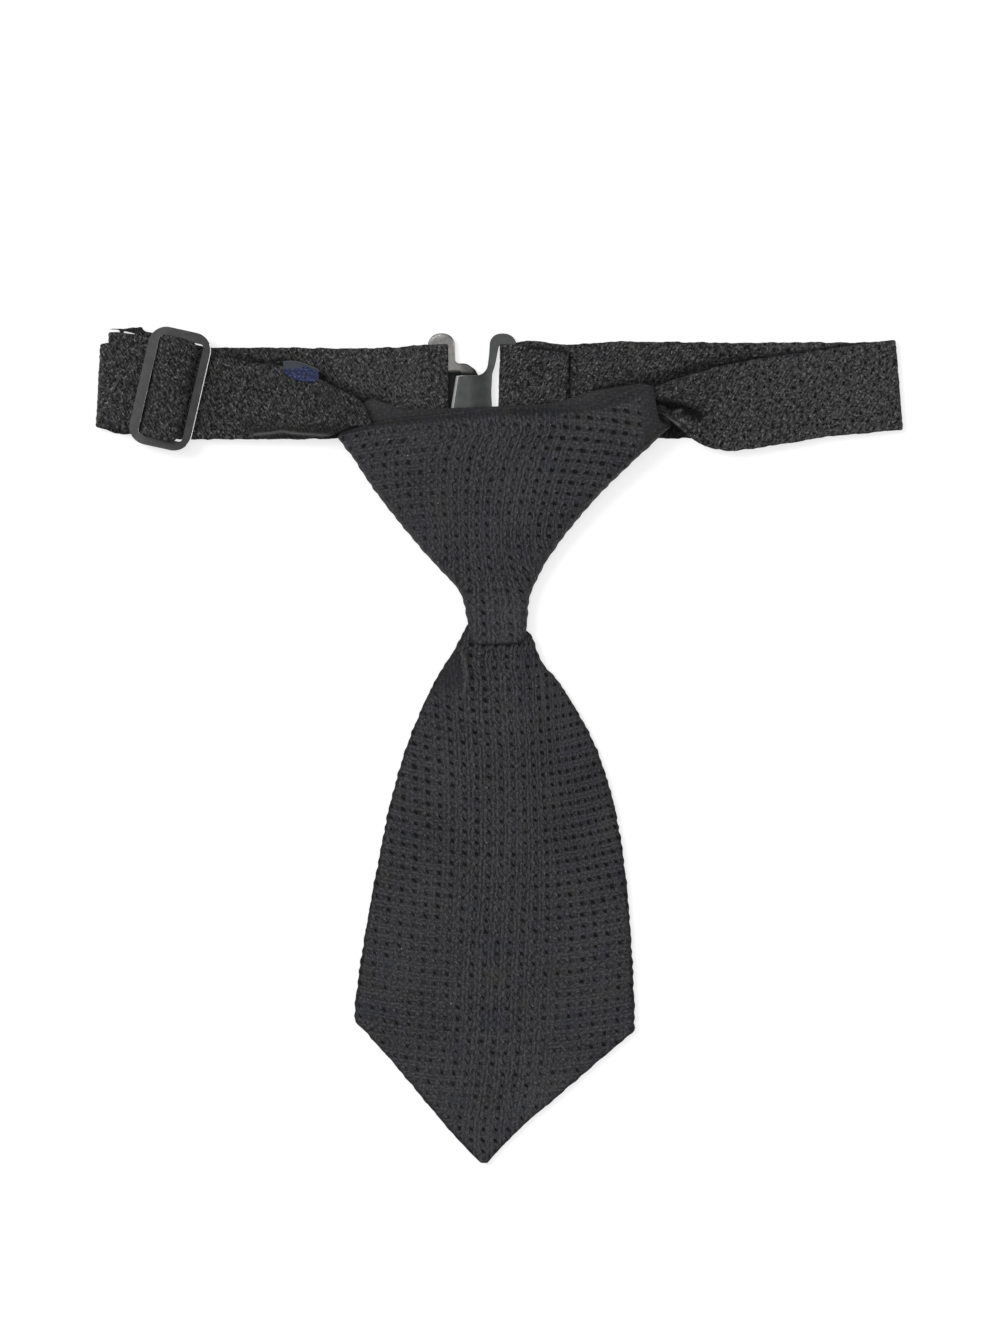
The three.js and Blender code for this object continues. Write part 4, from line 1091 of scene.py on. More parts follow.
@dataclass
class Knot:
    """A hollow, flattened funnel of cloth with a rolled rim."""

    node: str = "knot"
    cloth: float = 1.0
    row_step: float = 0.42
    face_steps: int = 176
    fold_steps: int = 17
    back_steps: int = 24
    roll_steps: int = 5
    inner_steps: int = 34
    rim_height: float = 5.6
    bow: float = 0.0025  # curve of the weave's rows, per millimetre
    body: Table = table("left_x left_y right_x right_y face_drop back_drop back edge face fold", [
        (-6.6, 23.3, 5.9, 23.7, 0.8, -2, 0, 2.9, 6, 2.2),
        (-7, 26.6, 6.1, 26.6, 0.5, -0.6, 0, 2.9, 6.3, 2.4),
        (-7.65, 30.2, 6.35, 30.2, 0.2, 0, 0, 3, 6.5, 2.8),
        (-8.7, 33.6, 6.95, 33.5, 0, 0, 0, 3, 6.7, 3.2), (-10.6, 36.2, 7.9, 35.9, 0, 0, 0, 3, 6.8, 3.4),
        (-14.1, 39.8, 9.9, 39.8, 0, 0, 0.1, 3.1, 7.1, 3.6),
        (-19, 45.4, 13.6, 45.3, 0, 0, 0.3, 3.3, 7.6, 3.6),
        (-23.6, 51, 18.2, 51, 0, 0, 0.9, 3.7, 8.2, 3.6),
        (-27.8, 56.5, 23.25, 56.6, 0, 0, 1.9, 4.4, 8.7, 3.4),
        (-32.95, 64.2, 31.2, 64.2, 0, 0, 3.5, 5.3, 9, 2.8),
        (-35.9, 68.1, 38.1, 70.6, 0, 0, 3.8, 5.6, 8.8, 2),
    ])
    face_rim: Table = table("across x y level", [
        (-1, -35.9, 68.3, 6.4), (-0.78, -27.7, 70.8, 7.8), (-0.55, -19, 72, 7.4),
        (-0.4, -14.8, 72.4, 7), (-0.18, -6.6, 73.5, 6.6), (0, 0.1, 74.1, 6.5), (0.22, 9, 74.3, 6.5),
        (0.42, 16.3, 74.2, 6.8), (0.57, 21.9, 75.1, 7.2), (0.7, 26.6, 77, 7.8), (0.88, 33.2, 79.1, 7.9),
        (0.93, 34.2, 78.4, 7.9), (0.96, 34.4, 75.7, 7.8), (0.985, 34.3, 72.9, 7.5),
        (0.994, 35.2, 72.1, 7.2), (1, 37.9, 71.1, 6.6),
    ])
    back_rim: Table = table("across x y", [
        (-1, -35.7, 68.7), (-0.9, -32.6, 73.6), (-0.78, -28.6, 76.3), (-0.7, -26, 75.3),
        (-0.63, -23.4, 74.4), (-0.52, -19, 73.9), (-0.3, -10.8, 74.1), (0, 0.1, 74.5), (0.22, 9, 74.9),
        (0.4, 15.2, 76), (0.52, 19.6, 77.5), (0.82, 30.4, 79.3), (0.92, 34.6, 79.8), (0.97, 36.6, 76),
        (1, 38, 71.3),
    ])
    spacing: Table = table("y crowd", [
        (24, -0.08), (31, -0.08), (37, 0.06), (46, 0.2), (56, 0.08), (66, 0), (80, 0),
    ])
    # Painted shadow on the lining: darkest in a crescent where the band goes in under it
    crescent_shadow: Path = (
        (-36.0, 79.2), (-33.6, 78.3), (-30.6, 76.3), (-29.1, 74.0), (-28.4, 71.8), (-28.1, 70.4),
    )

    def build(self, finish: Material) -> None:
        """Builds the knot and puts it in place of its node.

        Args:
            finish: Its silk.
        """
        self._around = spread([
            (0.0, 0), (1.0, self.back_steps // 2), (2.0, self.fold_steps), (3.0, self.face_steps),
            (4.0, self.fold_steps), (5.0, self.back_steps // 2),
        ])
        rise = 0.5 * (self.body.columns["left_y"] + self.body.columns["right_y"])
        up = row_places(np.append(np.diff(rise), self.rim_height), self.row_step)
        top = up[-1]
        down = top * (1.0 - np.linspace(0, 1, self.inner_steps + 1) ** 2.2)
        roll = np.linspace(0, 1, self.roll_steps + 1)[1:-1]
        self._height = np.concatenate([up, np.full(len(roll), top), down, np.zeros(2)])
        self._inside = np.concatenate([np.zeros(len(up)), roll, np.ones(len(down)), [0.5, 0.0]])
        piece = skin_grid("knot_cloth", len(self._around) - 1, len(self._height) - 1, self._shape, finish)
        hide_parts(self.node)

    def _section(self, turn: Array, half: Array, fold: Array) -> tuple[Array, Array, Array]:
        """Reads the flattened section.

        Args:
            turn: Place round it: 0 to 1 is the left back, then come the left fold, the face, the right
                fold and from 4 to 5 the right back.
            half: Half its width.
            fold: Width of its side folds.

        Returns:
            The place across from -1 to 1, the share of height from -1 behind to 1 in front, and the
            length of cloth from the middle of the face.
        """
        flat = 1.0 - fold / half
        stretch = np.clip(turn, 0.0, 4.999).astype(int)
        share = turn - stretch
        angle = (share - 0.5) * math.pi
        swing, lift, level = (1 - flat) * np.cos(angle), np.sin(angle), np.ones_like(share)
        arc = 1.35 * fold
        across = np.choose(stretch, [
            -flat * share, -flat - swing, flat * (2 * share - 1), flat + swing, flat * (1 - share),
        ])
        height = np.choose(stretch, [-level, lift, level, -lift, -level])
        cloth = np.choose(stretch, [
            -half * flat * (2 - share) - 2 * arc, -half * flat - 2 * arc * (1 - share), half * across,
            half * flat + 2 * arc * share, half * flat * (1 + share) + 2 * arc,
        ])
        return across, height, cloth

    def _shape(self, column: Array, row: Array) -> Skin:
        """Shapes the knot.

        Args:
            column: Column number of each point, round the ring.
            row: Row number of each point, up the outside, over the rim and down the inside.

        Returns:
            The points.
        """
        turn = self._around[column.astype(int)]
        height = self._height[row.astype(int)]
        inside = self._inside[row.astype(int)]
        last = self.body.count - 1.0
        low = np.minimum(height, last)
        t = {name: self.body.by_row(name, low) for name in self.body.columns}
        inset = 1.3 * inside
        half = 0.5 * (t["right_x"] - t["left_x"]) - inset
        across, level, cloth = self._section(turn, half, np.minimum(t["fold"], 0.8 * half))
        front = level > 0
        share = 0.5 * (across + 1.0)
        left_x = t["left_x"] + inset
        x = left_x + (t["right_x"] - inset - left_x) * share
        y = t["left_y"] + (t["right_y"] - t["left_y"]) * share
        y = y - np.where(front, t["face_drop"] * (1.0 - across**6), t["back_drop"] * (1.0 - across**2))
        face = t["face"] - self.cloth * inside * 1.1
        back = t["back"] + self.cloth * inside
        z = t["edge"] + np.where(front, face - t["edge"], t["edge"] - back) * level

        climb = unit(height - last)
        ahead = {way: self.face_rim.smooth("across", way, across) for way in ("x", "y", "level")}
        behind = {way: self.back_rim.smooth("across", way, across) for way in ("x", "y")}
        rim_x, rim_y = (np.where(front, ahead[way], behind[way]) for way in ("x", "y"))
        rim_z = ahead["level"] - self.cloth * inside * 1.1
        upright = 1.0 - 0.5 * ease(0.85, 0.95, across)
        x = x + (rim_x - inset * across - x) * climb**upright
        y = y + (rim_y - y) * climb
        goal = t["edge"] + (rim_z - t["edge"]) * level
        z = np.where(front, z + (goal - z) * climb**3, z)
        turned_in = np.sin(math.pi * unit(inside))
        y = y + 0.55 * turned_in * (height >= last + 0.99)
        y = y - 0.5 * turned_in * (height <= 0.01)

        crowd = self.spacing.smooth("y", "crowd", y)
        u = cloth * (1.0 + crowd)
        v = -(y + self.bow * x * x)
        outer = inside < 0.01
        shown = outer & front
        waves = ripples(x, y, (0.1, 11, 20), (0.05, 12, 7))
        dips = FACE_WEAVE.dimples(u, v)
        near_rim = np.maximum(ease(0.55, 0.9, climb), ease(29.5, 32.5, x))
        z = z + np.where(shown, (waves - dips * (1.0 - near_rim)) * level, 0.0)
        side = outer & (np.abs(across) > 1.0 - t["fold"] / np.maximum(half, 0.1))
        x = x - np.where(side, np.sign(across) * dips * np.sqrt(unit(1.0 - level**2)), 0.0)
        rim = ease(0.42, 0.1, np.abs(level)) * outer * (climb < 0.5)
        x = x + np.sign(across) * rim * edge_scallops(v, 33)
        z = np.maximum(z, 0.0)
        smooth_side = ease(1, 0.35, np.abs(level)) * outer
        wide = 1.0 + 0.75 * ease(4, 14, x)
        crescent_shadow = beside_path(x, y, self.crescent_shadow, 0.75)
        holes = (1.0 - 0.9 * near_rim) * (1.0 - 0.6 * smooth_side) * wide
        # Painted shade along the folded rims and in the crescent shadow; painted light lifts the lining,
        # and the face is a little paler near its foot
        return Skin(x, y, z, u, v, {
            Layer.OPEN: np.where(outer, holes, 0.25),
            Layer.RIBS: 1.0 - 0.55 * ease(8, 20, np.abs(x)),
            Layer.SHADE: np.where(outer, 1.5 * rim, 1.8 * crescent_shadow),
            Layer.WORN: np.where(outer, 0.07 * ease(38, 29, y), 0.1),
        })


# The neck band


@dataclass
class Band:
    """The neck band: one long strip in a whole loop, folded flat, with its ends sewn round the hardware."""

    node: str = "neck_band"
    width: float = 20.3
    cloth: float = 1.0
    step: float = 0.5
    side_columns: int = 40
    edge_columns: int = 3
    edge_crowd: float = 0.55  # how closely the columns stand near the edges
    bias: float = 30.0  # lean of the weave's strands from upright, in degrees
    slider_x: float = -72.9
    slider_slope: float = 0.218
    slider_lean: float = 4.43
    slider_top: float = 89.25
    gap: float = 0.3
    dip: float = 0.9  # how far the rear run sinks beside the front run's upper edge
    meeting: float = -4.0  # x of the gap between the two halves of the clasp
    # Levels of the cloth's middle in the four layers at the left
    levels: tuple[float, float, float, float] = (0.5, 1.8, 3.1, 4.4)
    columns: str = "x z top bottom lean thick"
    flap: Path = ((7, 88.2), (14.9, 87.2), (15.6, 86.2), (14.9, 76))
    roll: Path = ((-54.3, 68.7), (-50.7, 69), (-48.3, 69.45), (-44.7, 68.85), (-36.7, 68.4))
    # Upper edge of what lies over the rear run
    cover: Table = table("x y", [
        (-64.5, 87.6), (-61, 86.2), (-54.3, 84.7), (-48.1, 84.2), (-39.9, 81.4), (-34.3, 78.2),
        (-29, 76.2), (-16, 74.3), (0, 74.6), (16, 76.2), (30, 79.2), (35.4, 79.9), (42.1, 81.9),
        (49.2, 84), (57.2, 85.5), (67.4, 86.9), (77.2, 88.4), (84, 89.6),
    ])

    def build(self, finish: Material) -> Piece:
        """Builds the band and puts it in place of its node.

        Args:
            finish: Its silk.

        Returns:
            The piece.
        """
        self._line = self._resample()
        ring = 2 * (self.side_columns + self.edge_columns)
        piece = skin_grid("neck_band_cloth", ring, len(self._line["x"]) - 1, self._shape, finish)
        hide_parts(self.node)
        return piece

    def _fold(
        self, x: float, z: float, radius: float, start: float, end: float, edges: tuple
    ) -> list[tuple]:
        """Stations round a fold, from one angle to another, in degrees."""
        turn = np.radians(np.linspace(start, end, 13))
        return [(x + radius * math.cos(a), z + radius * math.sin(a), *edges, self.cloth) for a in turn]

    def _in_slider(
        self, places: list[tuple[float, float]], rise: float = 0.0, drop: float = 0.0
    ) -> list[tuple]:
        """Stations inside the slider, given across it from its middle bar. The strip is square to the bars.

        Args:
            places: Place across the slider and height of each station.
            rise: How far the strip's upper edge stands out.
            drop: How far its lower edge does.

        Returns:
            The stations.
        """
        out = []
        for across, z in places:
            top = self.slider_top - across * self.slider_slope
            edges = (top + rise, top - self.width - drop)
            out.append((self.slider_x + across, z, *edges, self.slider_lean, self.cloth))
        return out

    def _stations(self) -> list[tuple]:
        """All stations of the strip, from the end sewn round the slider's bar to the flap at the hook.

        Returns:
            The stations. Where a row leaves them out, the strip is upright and as thick as its cloth.
        """
        rear, rear_inner, front_inner, front = self.levels
        bar_top = self.slider_top - self.gap
        bar_edges = (bar_top, bar_top - self.width, self.slider_lean)
        left_fold = -86.7
        stations = [
            *self._in_slider([(-1.1, 7.25)]),
            *self._fold(self.slider_x + 0.3, 5.8, 1.45, 90, -90, bar_edges),
            *self._in_slider([(-1.9, 4.2), (-3.6, 3.4), (-5, front_inner), (-7.5, front_inner)]),
            *self._fold(left_fold + 0.7, 2.45, 0.65, 90, 270, (91.55, 71.6, 0.4)),
            (-84.2, rear_inner, 91.3, 71.4, 0.4), (-82.6, rear_inner, 90.8, 71, 0.4),
            (-80.5, rear_inner, 90.15, 70.6, 0.4), (-76, rear_inner, 89.9, 69.8),
            (-70, rear_inner, 89.2, 69), (-64, rear_inner, 88.1, 67.8),
            (-45, rear_inner, 88.15, 67.8), (-38, rear_inner, 87.95, 67.9),
            (-28, rear_inner, 88, 68.1), (-21, rear_inner, 88.4, 68.1), (-18.8, 2.2, 88.6, 68.1),
            (-16.6, 2.8, 88.8, 68.1),
            *self._fold(-12.9, 1.7, 1.2, 90, -90, (88.9, 68.1, 0)),
            (-20, rear, 88.3, 68.1), (-27, rear, 87.9, 68.1), (-45, rear, 88, 67.8),
            (-64, rear, 88.1, 67.8), (-80, rear, 89.2, 68.8, 0.5), (-85.4, rear, 89.1, 68.9, 0.5),
            *self._fold(left_fold, 2.45, 1.95, -90, -270, (89, 70.3, 1)),
            *self._in_slider([
                (-8.2, front), (-4.5, front), (-3.8, 5.3), (-3.4, 6.6), (-2.9, 7.7), (-1.9, 8.45),
                (-0.6, 8.58), (0.4, 8.58),
            ], rise=0.8, drop=1.3),
            *self._in_slider([(1.7, 8.4), (2.9, 7.8), (3.12, 7.3)], rise=0.75, drop=1.9),
            *self._in_slider([(3.28, 6.8), (3.45, 6.1)], rise=-0.1, drop=-0.3),
            *self._in_slider([(3.6, 5.5), (3.8, 4.6)], rise=-1, drop=0.6),
            *self._in_slider([(5.9, 3.9)], rise=-1, drop=0.1),
            (-63.5, 3.85, 87.4, 67.7, 2.5), (-60.5, 3.95, 86, 67.7, 0.8), (-54.3, 4.4, 84.7, 67.7),
            (-48.1, 4.8, 84.2, 67.7), (-43.5, 5.1, 82.9, 67.7), (-39.9, 5.4, 81.2, 67.8),
            (-36.5, 5.8, 79.3, 68.6), (-34.3, 6, 78.2, 69.8), (-31.7, 6, 77, 70.4),
            (-30.1, 5.9, 75.9, 70.9), (-29.1, 5.8, 74.2, 70.4), (-28.5, 5.7, 71.6, 68.2),
            (-27.8, 5.6, 69.2, 65.4, 0, 1.1), (-25, 6, 69.4, 62.6, 0, 1.7),
            (-20, 6.2, 69.4, 61.4, 0, 2), (0, 6.3, 71, 63, 0, 2),
            (18, 6.2, 71, 63, 0, 2), (27, 5.9, 73, 67.4, 0, 1.5), (31, 5.6, 75.8, 71.4),
            (34.4, 5.6, 79.2, 74), (37, 5.6, 80.3, 72.6), (39.2, 5.3, 81.1, 70.6),
            (42.1, 5.1, 82, 68.1), (44.3, 4.95, 82.7, 66.6), (46.1, 4.8, 83.2, 65.9),
            (48.1, 4.65, 83.75, 65.4), (50.6, 4.5, 84.3, 64.95), (53.4, 4.3, 84.85, 65.15, -0.2),
            (57.2, 4, 85.5, 65.8, -0.4), (61.4, 3.7, 86.1, 66.4, -0.6), (67.4, 3.4, 86.9, 67.4, -0.8),
            (72.1, 3.1, 87.6, 68.3, -1), (77.2, 2.8, 88.4, 68.7, -1.2),
            *self._fold(87.4, 1.5, 1, 90, -90, (89.8, 69.8, -1.6)),
            (80, rear, 89.3, 69, -0.8), (68, rear, 89.4, 68.1), (52, rear, 89.2, 68),
            (42, rear, 89.4, 68), (31, rear, 89.45, 68), (26.5, rear, 89.6, 68),
            (20.5, rear, 89.15, 68.1), (14, rear, 88.8, 68.2, 0.2), (10.6, rear, 89.35, 68.2, 0.2),
            (8.2, rear, 89.75, 68.2, 0.2), (5.6, rear, 89.75, 68.2, 0.2),
            *self._fold(1.4, 1.7, 1.2, -90, -270, (88.9, 68.2, 0.6)),
            (4.8, 2.8, 88.7, 68.1, 0.4), (7.4, 2, 88.3, 68.1, 0.4), (10, rear_inner, 87.9, 68.1, 0.2),
            (15.5, rear_inner, 87.4, 68.1),
        ]
        upright = (0.0, self.cloth)
        return [(*row, *upright[len(row) - 4 :]) for row in stations]

    def _resample(self) -> dict[str, Array]:
        """Spaces the stations evenly along the strip and softens their corners."""
        values = np.array(self._stations(), float)
        steps = np.hypot(np.diff(values[:, 0]), np.diff(values[:, 1]))
        length = np.concatenate([[0.0], np.cumsum(steps)])
        count = int(round(length[-1] / self.step))
        places = np.linspace(0, length[-1], count + 1)
        line = {"length": places}
        for i, name in enumerate(self.columns.split()):
            soft = 0.5 if name in ("x", "z") else 1.1
            line[name] = self._soften(np.interp(places, length, values[:, i]), soft)
        slope_x, slope_z = np.gradient(line["x"]), np.gradient(line["z"])
        size = np.hypot(slope_x, slope_z)
        line["normal_x"], line["normal_z"] = -slope_z / size, slope_x / size
        return line

    def _soften(self, values: Array, width: float) -> Array:
        """Blurs a column along the strip over a width in millimetres."""
        reach = max(1, int(3.0 * width / self.step))
        kernel = np.exp(-0.5 * (np.arange(-reach, reach + 1) * self.step / width) ** 2)
        padded = np.pad(values, reach, mode="edge")
        return np.convolve(padded, kernel / kernel.sum(), mode="valid")

    def _crowded(self, share: Array) -> Array:
        """Moves evenly spaced shares closer together near both ends."""
        return (1.0 - self.edge_crowd) * share + self.edge_crowd * (0.5 - 0.5 * np.cos(math.pi * share))

    def _shape(self, column: Array, row: Array) -> Skin:
        """Shapes the strip.

        Args:
            column: Column number of each point, round the strip's section.
            row: Row number of each point, along the strip.

        Returns:
            The points.
        """
        i = row.astype(int)
        line = {name: values[i] for name, values in self._line.items()}
        side, edge = self.side_columns, self.edge_columns
        ring = 2 * (side + edge)
        column = np.mod(column, ring)
        half = 0.5 * line["thick"]
        soft = 0.7 * half
        # Round the ring: front from bottom to top, top edge, back from top to bottom, bottom edge
        front = column <= side
        top = (column > side) & (column < side + edge)
        back = (column >= side + edge) & (column <= 2 * side + edge)
        stretches = [front, top, back]
        past_top = column - side - edge
        share = np.select(
            stretches,
            [self._crowded(column / side), (column - side) / edge, self._crowded(past_top / side)],
            (past_top - side) / edge,
        )
        low, high = line["bottom"], line["top"]
        angle = math.pi * share
        y = np.select(
            stretches,
            [low + soft + (high - low - 2 * soft) * share, high - soft + soft * np.sin(angle),
             high - soft - (high - low - 2 * soft) * share],
            low + soft - soft * np.sin(angle),
        )
        out = np.select(stretches, [half, half * np.cos(angle), -half], -half * np.cos(angle))
        over = (y - low) / (high - low)
        along = line["length"]
        across = (over - 0.5) * self.width

        fuzz = ripples(across, along, (0.07, 21, 1.3), (0.05, 22, 5))
        pits = 0.09 * ease(0.2, 1.2, Ripple(25, 1.1, 14).at(across, along))
        lift = np.sign(out) * (fuzz - pits)
        ragged = ripples(along, 0.0 * along, (0.09, 23, 1.3), (0.09, 24, 5))
        y = y + ragged * np.where(over > 0.5, 1.0, -1.0) * np.abs(2.0 * over - 1.0) ** 6
        x = line["x"] + line["lean"] * (over - 0.5) + line["normal_x"] * (out + lift)
        z = line["z"] + line["normal_z"] * (out + lift)
        upper = (line["normal_z"] > 0.6) & (line["z"] > 3.4)
        z = z + np.where(upper, self._folds(x, y, over), 0.0)
        lower = (np.abs(line["normal_z"]) > 0.6) & (line["z"] < 2.4)
        past = y - self.cover.smooth("x", "y", x)
        level_end = ease(50, 62, x)
        dip = self.dip * np.maximum(ease(0.2, 2.6, past), level_end) * self._open_run(x)
        z = z + np.where(lower, dip, 0.0)
        z = np.maximum(z, 0.0)
        rolled = upper & (np.abs(y - 69.0) < 1.1) & (x > -54.5) & (x < -36.5)
        u, v = self._turned(x, y, line["normal_z"])
        shade = 1.3 * ease(0.9, 0.35, np.abs(out) / half)
        reach = 2.2 + 1.6 * ease(54, 40, x) * (x > 0)
        deep = 1.35 - 1.25 * ease(46, 66, x)
        under = deep * ease(reach, 0.2, past) * self._open_run(x) + self._shadow_lines(x, y, past)
        above = self._hollow(x, y) + 0.08 * (x < 0.0)
        shade = np.maximum(shade, np.where(lower, under, np.where(upper, above, 0.0)))
        # Painted shade along the edges, past the front run's upper edge and in the hollows; painted
        # highlights on the crests and specks
        return Skin(x, y, z, u, v, {
            Layer.OPEN: (1.0 - 0.9 * rolled) * (1.0 - 0.75 * self._worn_smooth(x, y, upper)),
            Layer.RIBS: 0.4 + 0.6 * ease(38, 46, x),
            Layer.SHADE: shade,
            Layer.WORN: np.where(upper, self._crest_highlight(x, y), 0.03) + self._pale(x, line["z"]),
        })

    def _shadow_lines(self, x: Array, y: Array, past: Array) -> Array:
        """Thin painted shadow lines on the rear run: round the sewn flap, and past the front run's upper
        edge.
        """
        flap = 2.2 * beside_path(x, y, self.flap, 0.33)
        return flap + 1.5 * hump(past, 0.35, 0.45) * within(x, (48, 58), (79, 85))

    def _open_run(self, x: Array) -> Array:
        """1 where the rear run lies free: not in the folds at the ends, nor round the clasp."""
        return within(x, (-62, -58), (-26, -22)) + within(x, (19, 23), (76, 82))

    def _worn_smooth(self, x: Array, y: Array, upper: Array) -> Array:
        """1 where the front run's crinkles are pulled flat, near the knot and below the label."""
        near_knot = hump(np.hypot((x + 38) / 1.6, y - 77.5), 0, 2.6)
        near_end = 0.7 * hump(np.hypot((x + 32.5) / 1.3, y - 73.5), 0, 3)
        bottom = hump(y, 69.8, 1.6) * within(x, (-62, -55), (-36, -33))
        lip = hump(y, self._lip(x), 1) * within(x, (33, 35), (39, 43))
        return np.where(upper, unit(near_knot + near_end + bottom + lip), 0.0)

    def _turned(self, x: Array, y: Array, facing: Array) -> tuple[Array, Array]:
        """Cloth map of the strip, cut on the bias, whose strands lean away from the knot on both sides.

        Args:
            x: Place from left to right.
            y: Place from below to above.
            facing: How far the stretch faces up or down. Its sign keeps the two sides' patterns apart.

        Returns:
            Places across and along the strands.
        """
        angle = np.radians(self.bias) * np.where(x > self.meeting, -1.0, 1.0)
        shift = 40.0 * np.sign(facing)
        u = x * np.cos(angle) + y * np.sin(angle) + shift
        v = -x * np.sin(angle) + y * np.cos(angle)
        return u, v

    def _hollow(self, x: Array, y: Array) -> Array:
        """How deep in shade the front run is: in the hollow at the knot's right end, and below the roll."""
        pocket = 2.6 * beside_path(x, y, [(33.5, 75.4), (38.5, 75), (44, 73.2)], 1.25)
        below_lip = beside_path(x, y, [(35, 72.6), (38.5, 70.7)], 0.5)
        below_roll = 0.8 * beside_path(x, y, [(-54.3, 67.9), (-47, 68.2), (-36.6, 67.6)], 0.45)
        clear = 1.0 - unit(self._specks(x, y))
        return np.clip(pocket + below_lip + below_roll, 0.0, 1.9) * clear

    def _crest_highlight(self, x: Array, y: Array) -> Array:
        """Painted highlights on the front run along the crests of its creases, and on the specks in the
        hollow.
        """
        roll = 0.6 * beside_path(x, y, self.roll, 0.26)
        lip = 0.8 * beside_path(x, y, [(34.8, 73.6), (37.5, 72), (39.6, 70.9)], 0.35)
        return roll + lip + 1.3 * self._specks(x, y)

    def _specks(self, x: Array, y: Array) -> Array:
        """Where the knots of thread lie that catch the light in the hollow at the knot's right end."""
        upper = beside_path(x, y, [(38.9, 73.6), (40.2, 74.1)], 0.34)
        lower = beside_path(x, y, [(40.1, 71.9), (40.9, 71.75)], 0.34)
        return upper + lower

    def _pale(self, x: Array, z: Array) -> Array:
        """How much paler the strip is painted by stretches, lightest at the right; at the rear right this
        is painted light against the shade beside the front run.
        """
        front = 0.115 * ease(44, 54, x) * (z > 1.6)
        rear_left = 0.085 * ease(-40, -34, x) * (z < 2.6) * (x < 0)
        rear_right = 0.2 * within(x, (54, 64), (78, 82)) * (z < 1.6)
        return front + rear_left + rear_right

    def _lip(self, x: Array) -> Array:
        """Height on the picture of the small ridge at the knot's right end."""
        return 73.9 - 0.62 * (x - 34.7)

    def _folds(self, x: Array, y: Array, over: Array) -> Array:
        """Height that the creases of the front run add near the knot."""
        rolling = within(x, (-56, -50), (-38, -35))
        roll = (0.55 * hump(y, 69, 0.5) - 0.4 * hump(y, 70.1, 0.6)) * rolling
        bulge = 0.5 * np.sin(math.pi * unit(over)) * ease(-60, -40, x) * (x < 0)
        ending = ease(-40, -34, x) * (x < 0)
        rise = 0.9 * ease(0.55, 0.95, over) * ending
        hollow = -2.2 * hump(y, 74.6 - 0.06 * (x - 34.6), 1)
        hollow = hollow * ease(31, 34.5, x) * ease(47, 40, x)
        lobe = 0.7 * hump(y, 78.0 + 0.12 * (x - 34.6), 1.7)
        lobe = lobe * ease(31, 35, x) * ease(50, 40, x)
        lip = 0.9 * hump(y, self._lip(x), 0.65) * ease(32, 34.5, x) * ease(45, 40, x)
        return roll + bulge + rise + hollow + lobe + lip


# Slider and clasp


def rounded_loop(corners: Corners) -> list[Vector]:
    """Rounds the corners of a closed outline.

    Args:
        corners: x, y and radius of each corner in turn, in millimetres.

    Returns:
        The outline's points, in metres.
    """
    out = []
    for i, (x, y, radius) in enumerate(corners):
        here = Vector((x, y, 0.0))
        back = Vector((*corners[i - 1][:2], 0.0)) - here
        ahead = Vector((*corners[(i + 1) % len(corners)][:2], 0.0)) - here
        turn = math.tan(0.5 * back.angle(ahead))
        reach = min(radius / turn, 0.49 * back.length, 0.49 * ahead.length)
        middle = (back.normalized() + ahead.normalized()).normalized()
        centre = here + middle * math.hypot(reach, reach * turn)
        start = here + back.normalized() * reach - centre
        end = here + ahead.normalized() * reach - centre
        sweep = math.atan2(start.x * end.y - start.y * end.x, start.dot(end))
        for k in range(CORNER_STEPS + 1):
            out.append((centre + Matrix.Rotation(sweep * k / CORNER_STEPS, 3, "Z") @ start) * MM)
    return out


def mirrored(corners: Corners, middle: float) -> Corners:
    """Completes an outline whose lower half mirrors its upper half.

    Args:
        corners: x, height above the middle and radius of each corner of the upper half, in turn.
        middle: Height of the middle.

    Returns:
        All corners, with their heights from the ground up.
    """
    upper = [(x, middle + rise, radius) for x, rise, radius in corners]
    lower = [(x, middle - rise, radius) for x, rise, radius in reversed(corners)]
    return upper + lower


@dataclass
class MetalPart:
    """A metal piece that is painted lighter or darker in places: wear, painted highlights and painted
    shade.
    """

    node: str = ""

    def worn(self, place: Vector, facing: Vector) -> float:
        """How much lighter the metal is painted at a place in millimetres, by the direction that it faces:
        wear and painted highlights.
        """
        return 0.0

    def black(self, place: Vector, facing: Vector) -> float:
        """How black the metal is there."""
        return 0.0

    def dress(self, work: Work, name: str, slot: str, finish: Material) -> None:
        """Makes a piece of a finished shape and puts it in place of its node.

        Args:
            work: The shape, which is freed.
            name: The piece's name.
            slot: Not used.
            finish: Its metal.
        """
        bmesh.ops.recalc_face_normals(work, faces=work.faces)
        work.normal_update()
        spots = [(vert.co / MM, vert.normal.copy()) for vert in work.verts]
        mesh = mesh_of(work, name)
        for layer, amount in ((Layer.WORN, self.worn), (Layer.TARNISH, self.black)):
            values = [amount(*spot) for spot in spots]
            mesh.attributes.new(layer.value, "FLOAT", "POINT").data.foreach_set("value", values)
        piece = finished(name, mesh, finish)
        piece.modifiers.new("even_shading", "WEIGHTED_NORMAL").weight = 60
        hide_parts(self.node)


def soften_edges(work: Work, width: float, segments: int) -> None:
    """Rounds the sharp edges of a flat piece and sets a narrow ring inside them, where wear and painted
    highlights fade out.

    Args:
        work: The piece.
        width: Width of the rounding, in millimetres.
        segments: Steps in it.
    """
    bmesh.ops.dissolve_limit(
        work, angle_limit=math.radians(1.0), verts=work.verts, edges=work.edges,
        use_dissolve_boundaries=False,
    )
    sharp = [e for e in work.edges if e.is_manifold and e.calc_face_angle() > math.radians(60.0)]
    bmesh.ops.bevel(
        work, geom=sharp, offset=width * MM, offset_type="OFFSET", segments=segments, profile=0.5,
        affect="EDGES", material=-1, clamp_overlap=True,
    )
    work.normal_update()
    upper = [face for face in work.faces if face.normal.z > 0.999]
    bmesh.ops.inset_region(
        work, faces=upper, thickness=WEAR_AND_HIGHLIGHT_RING * MM, use_even_offset=True, use_boundary=True,
    )


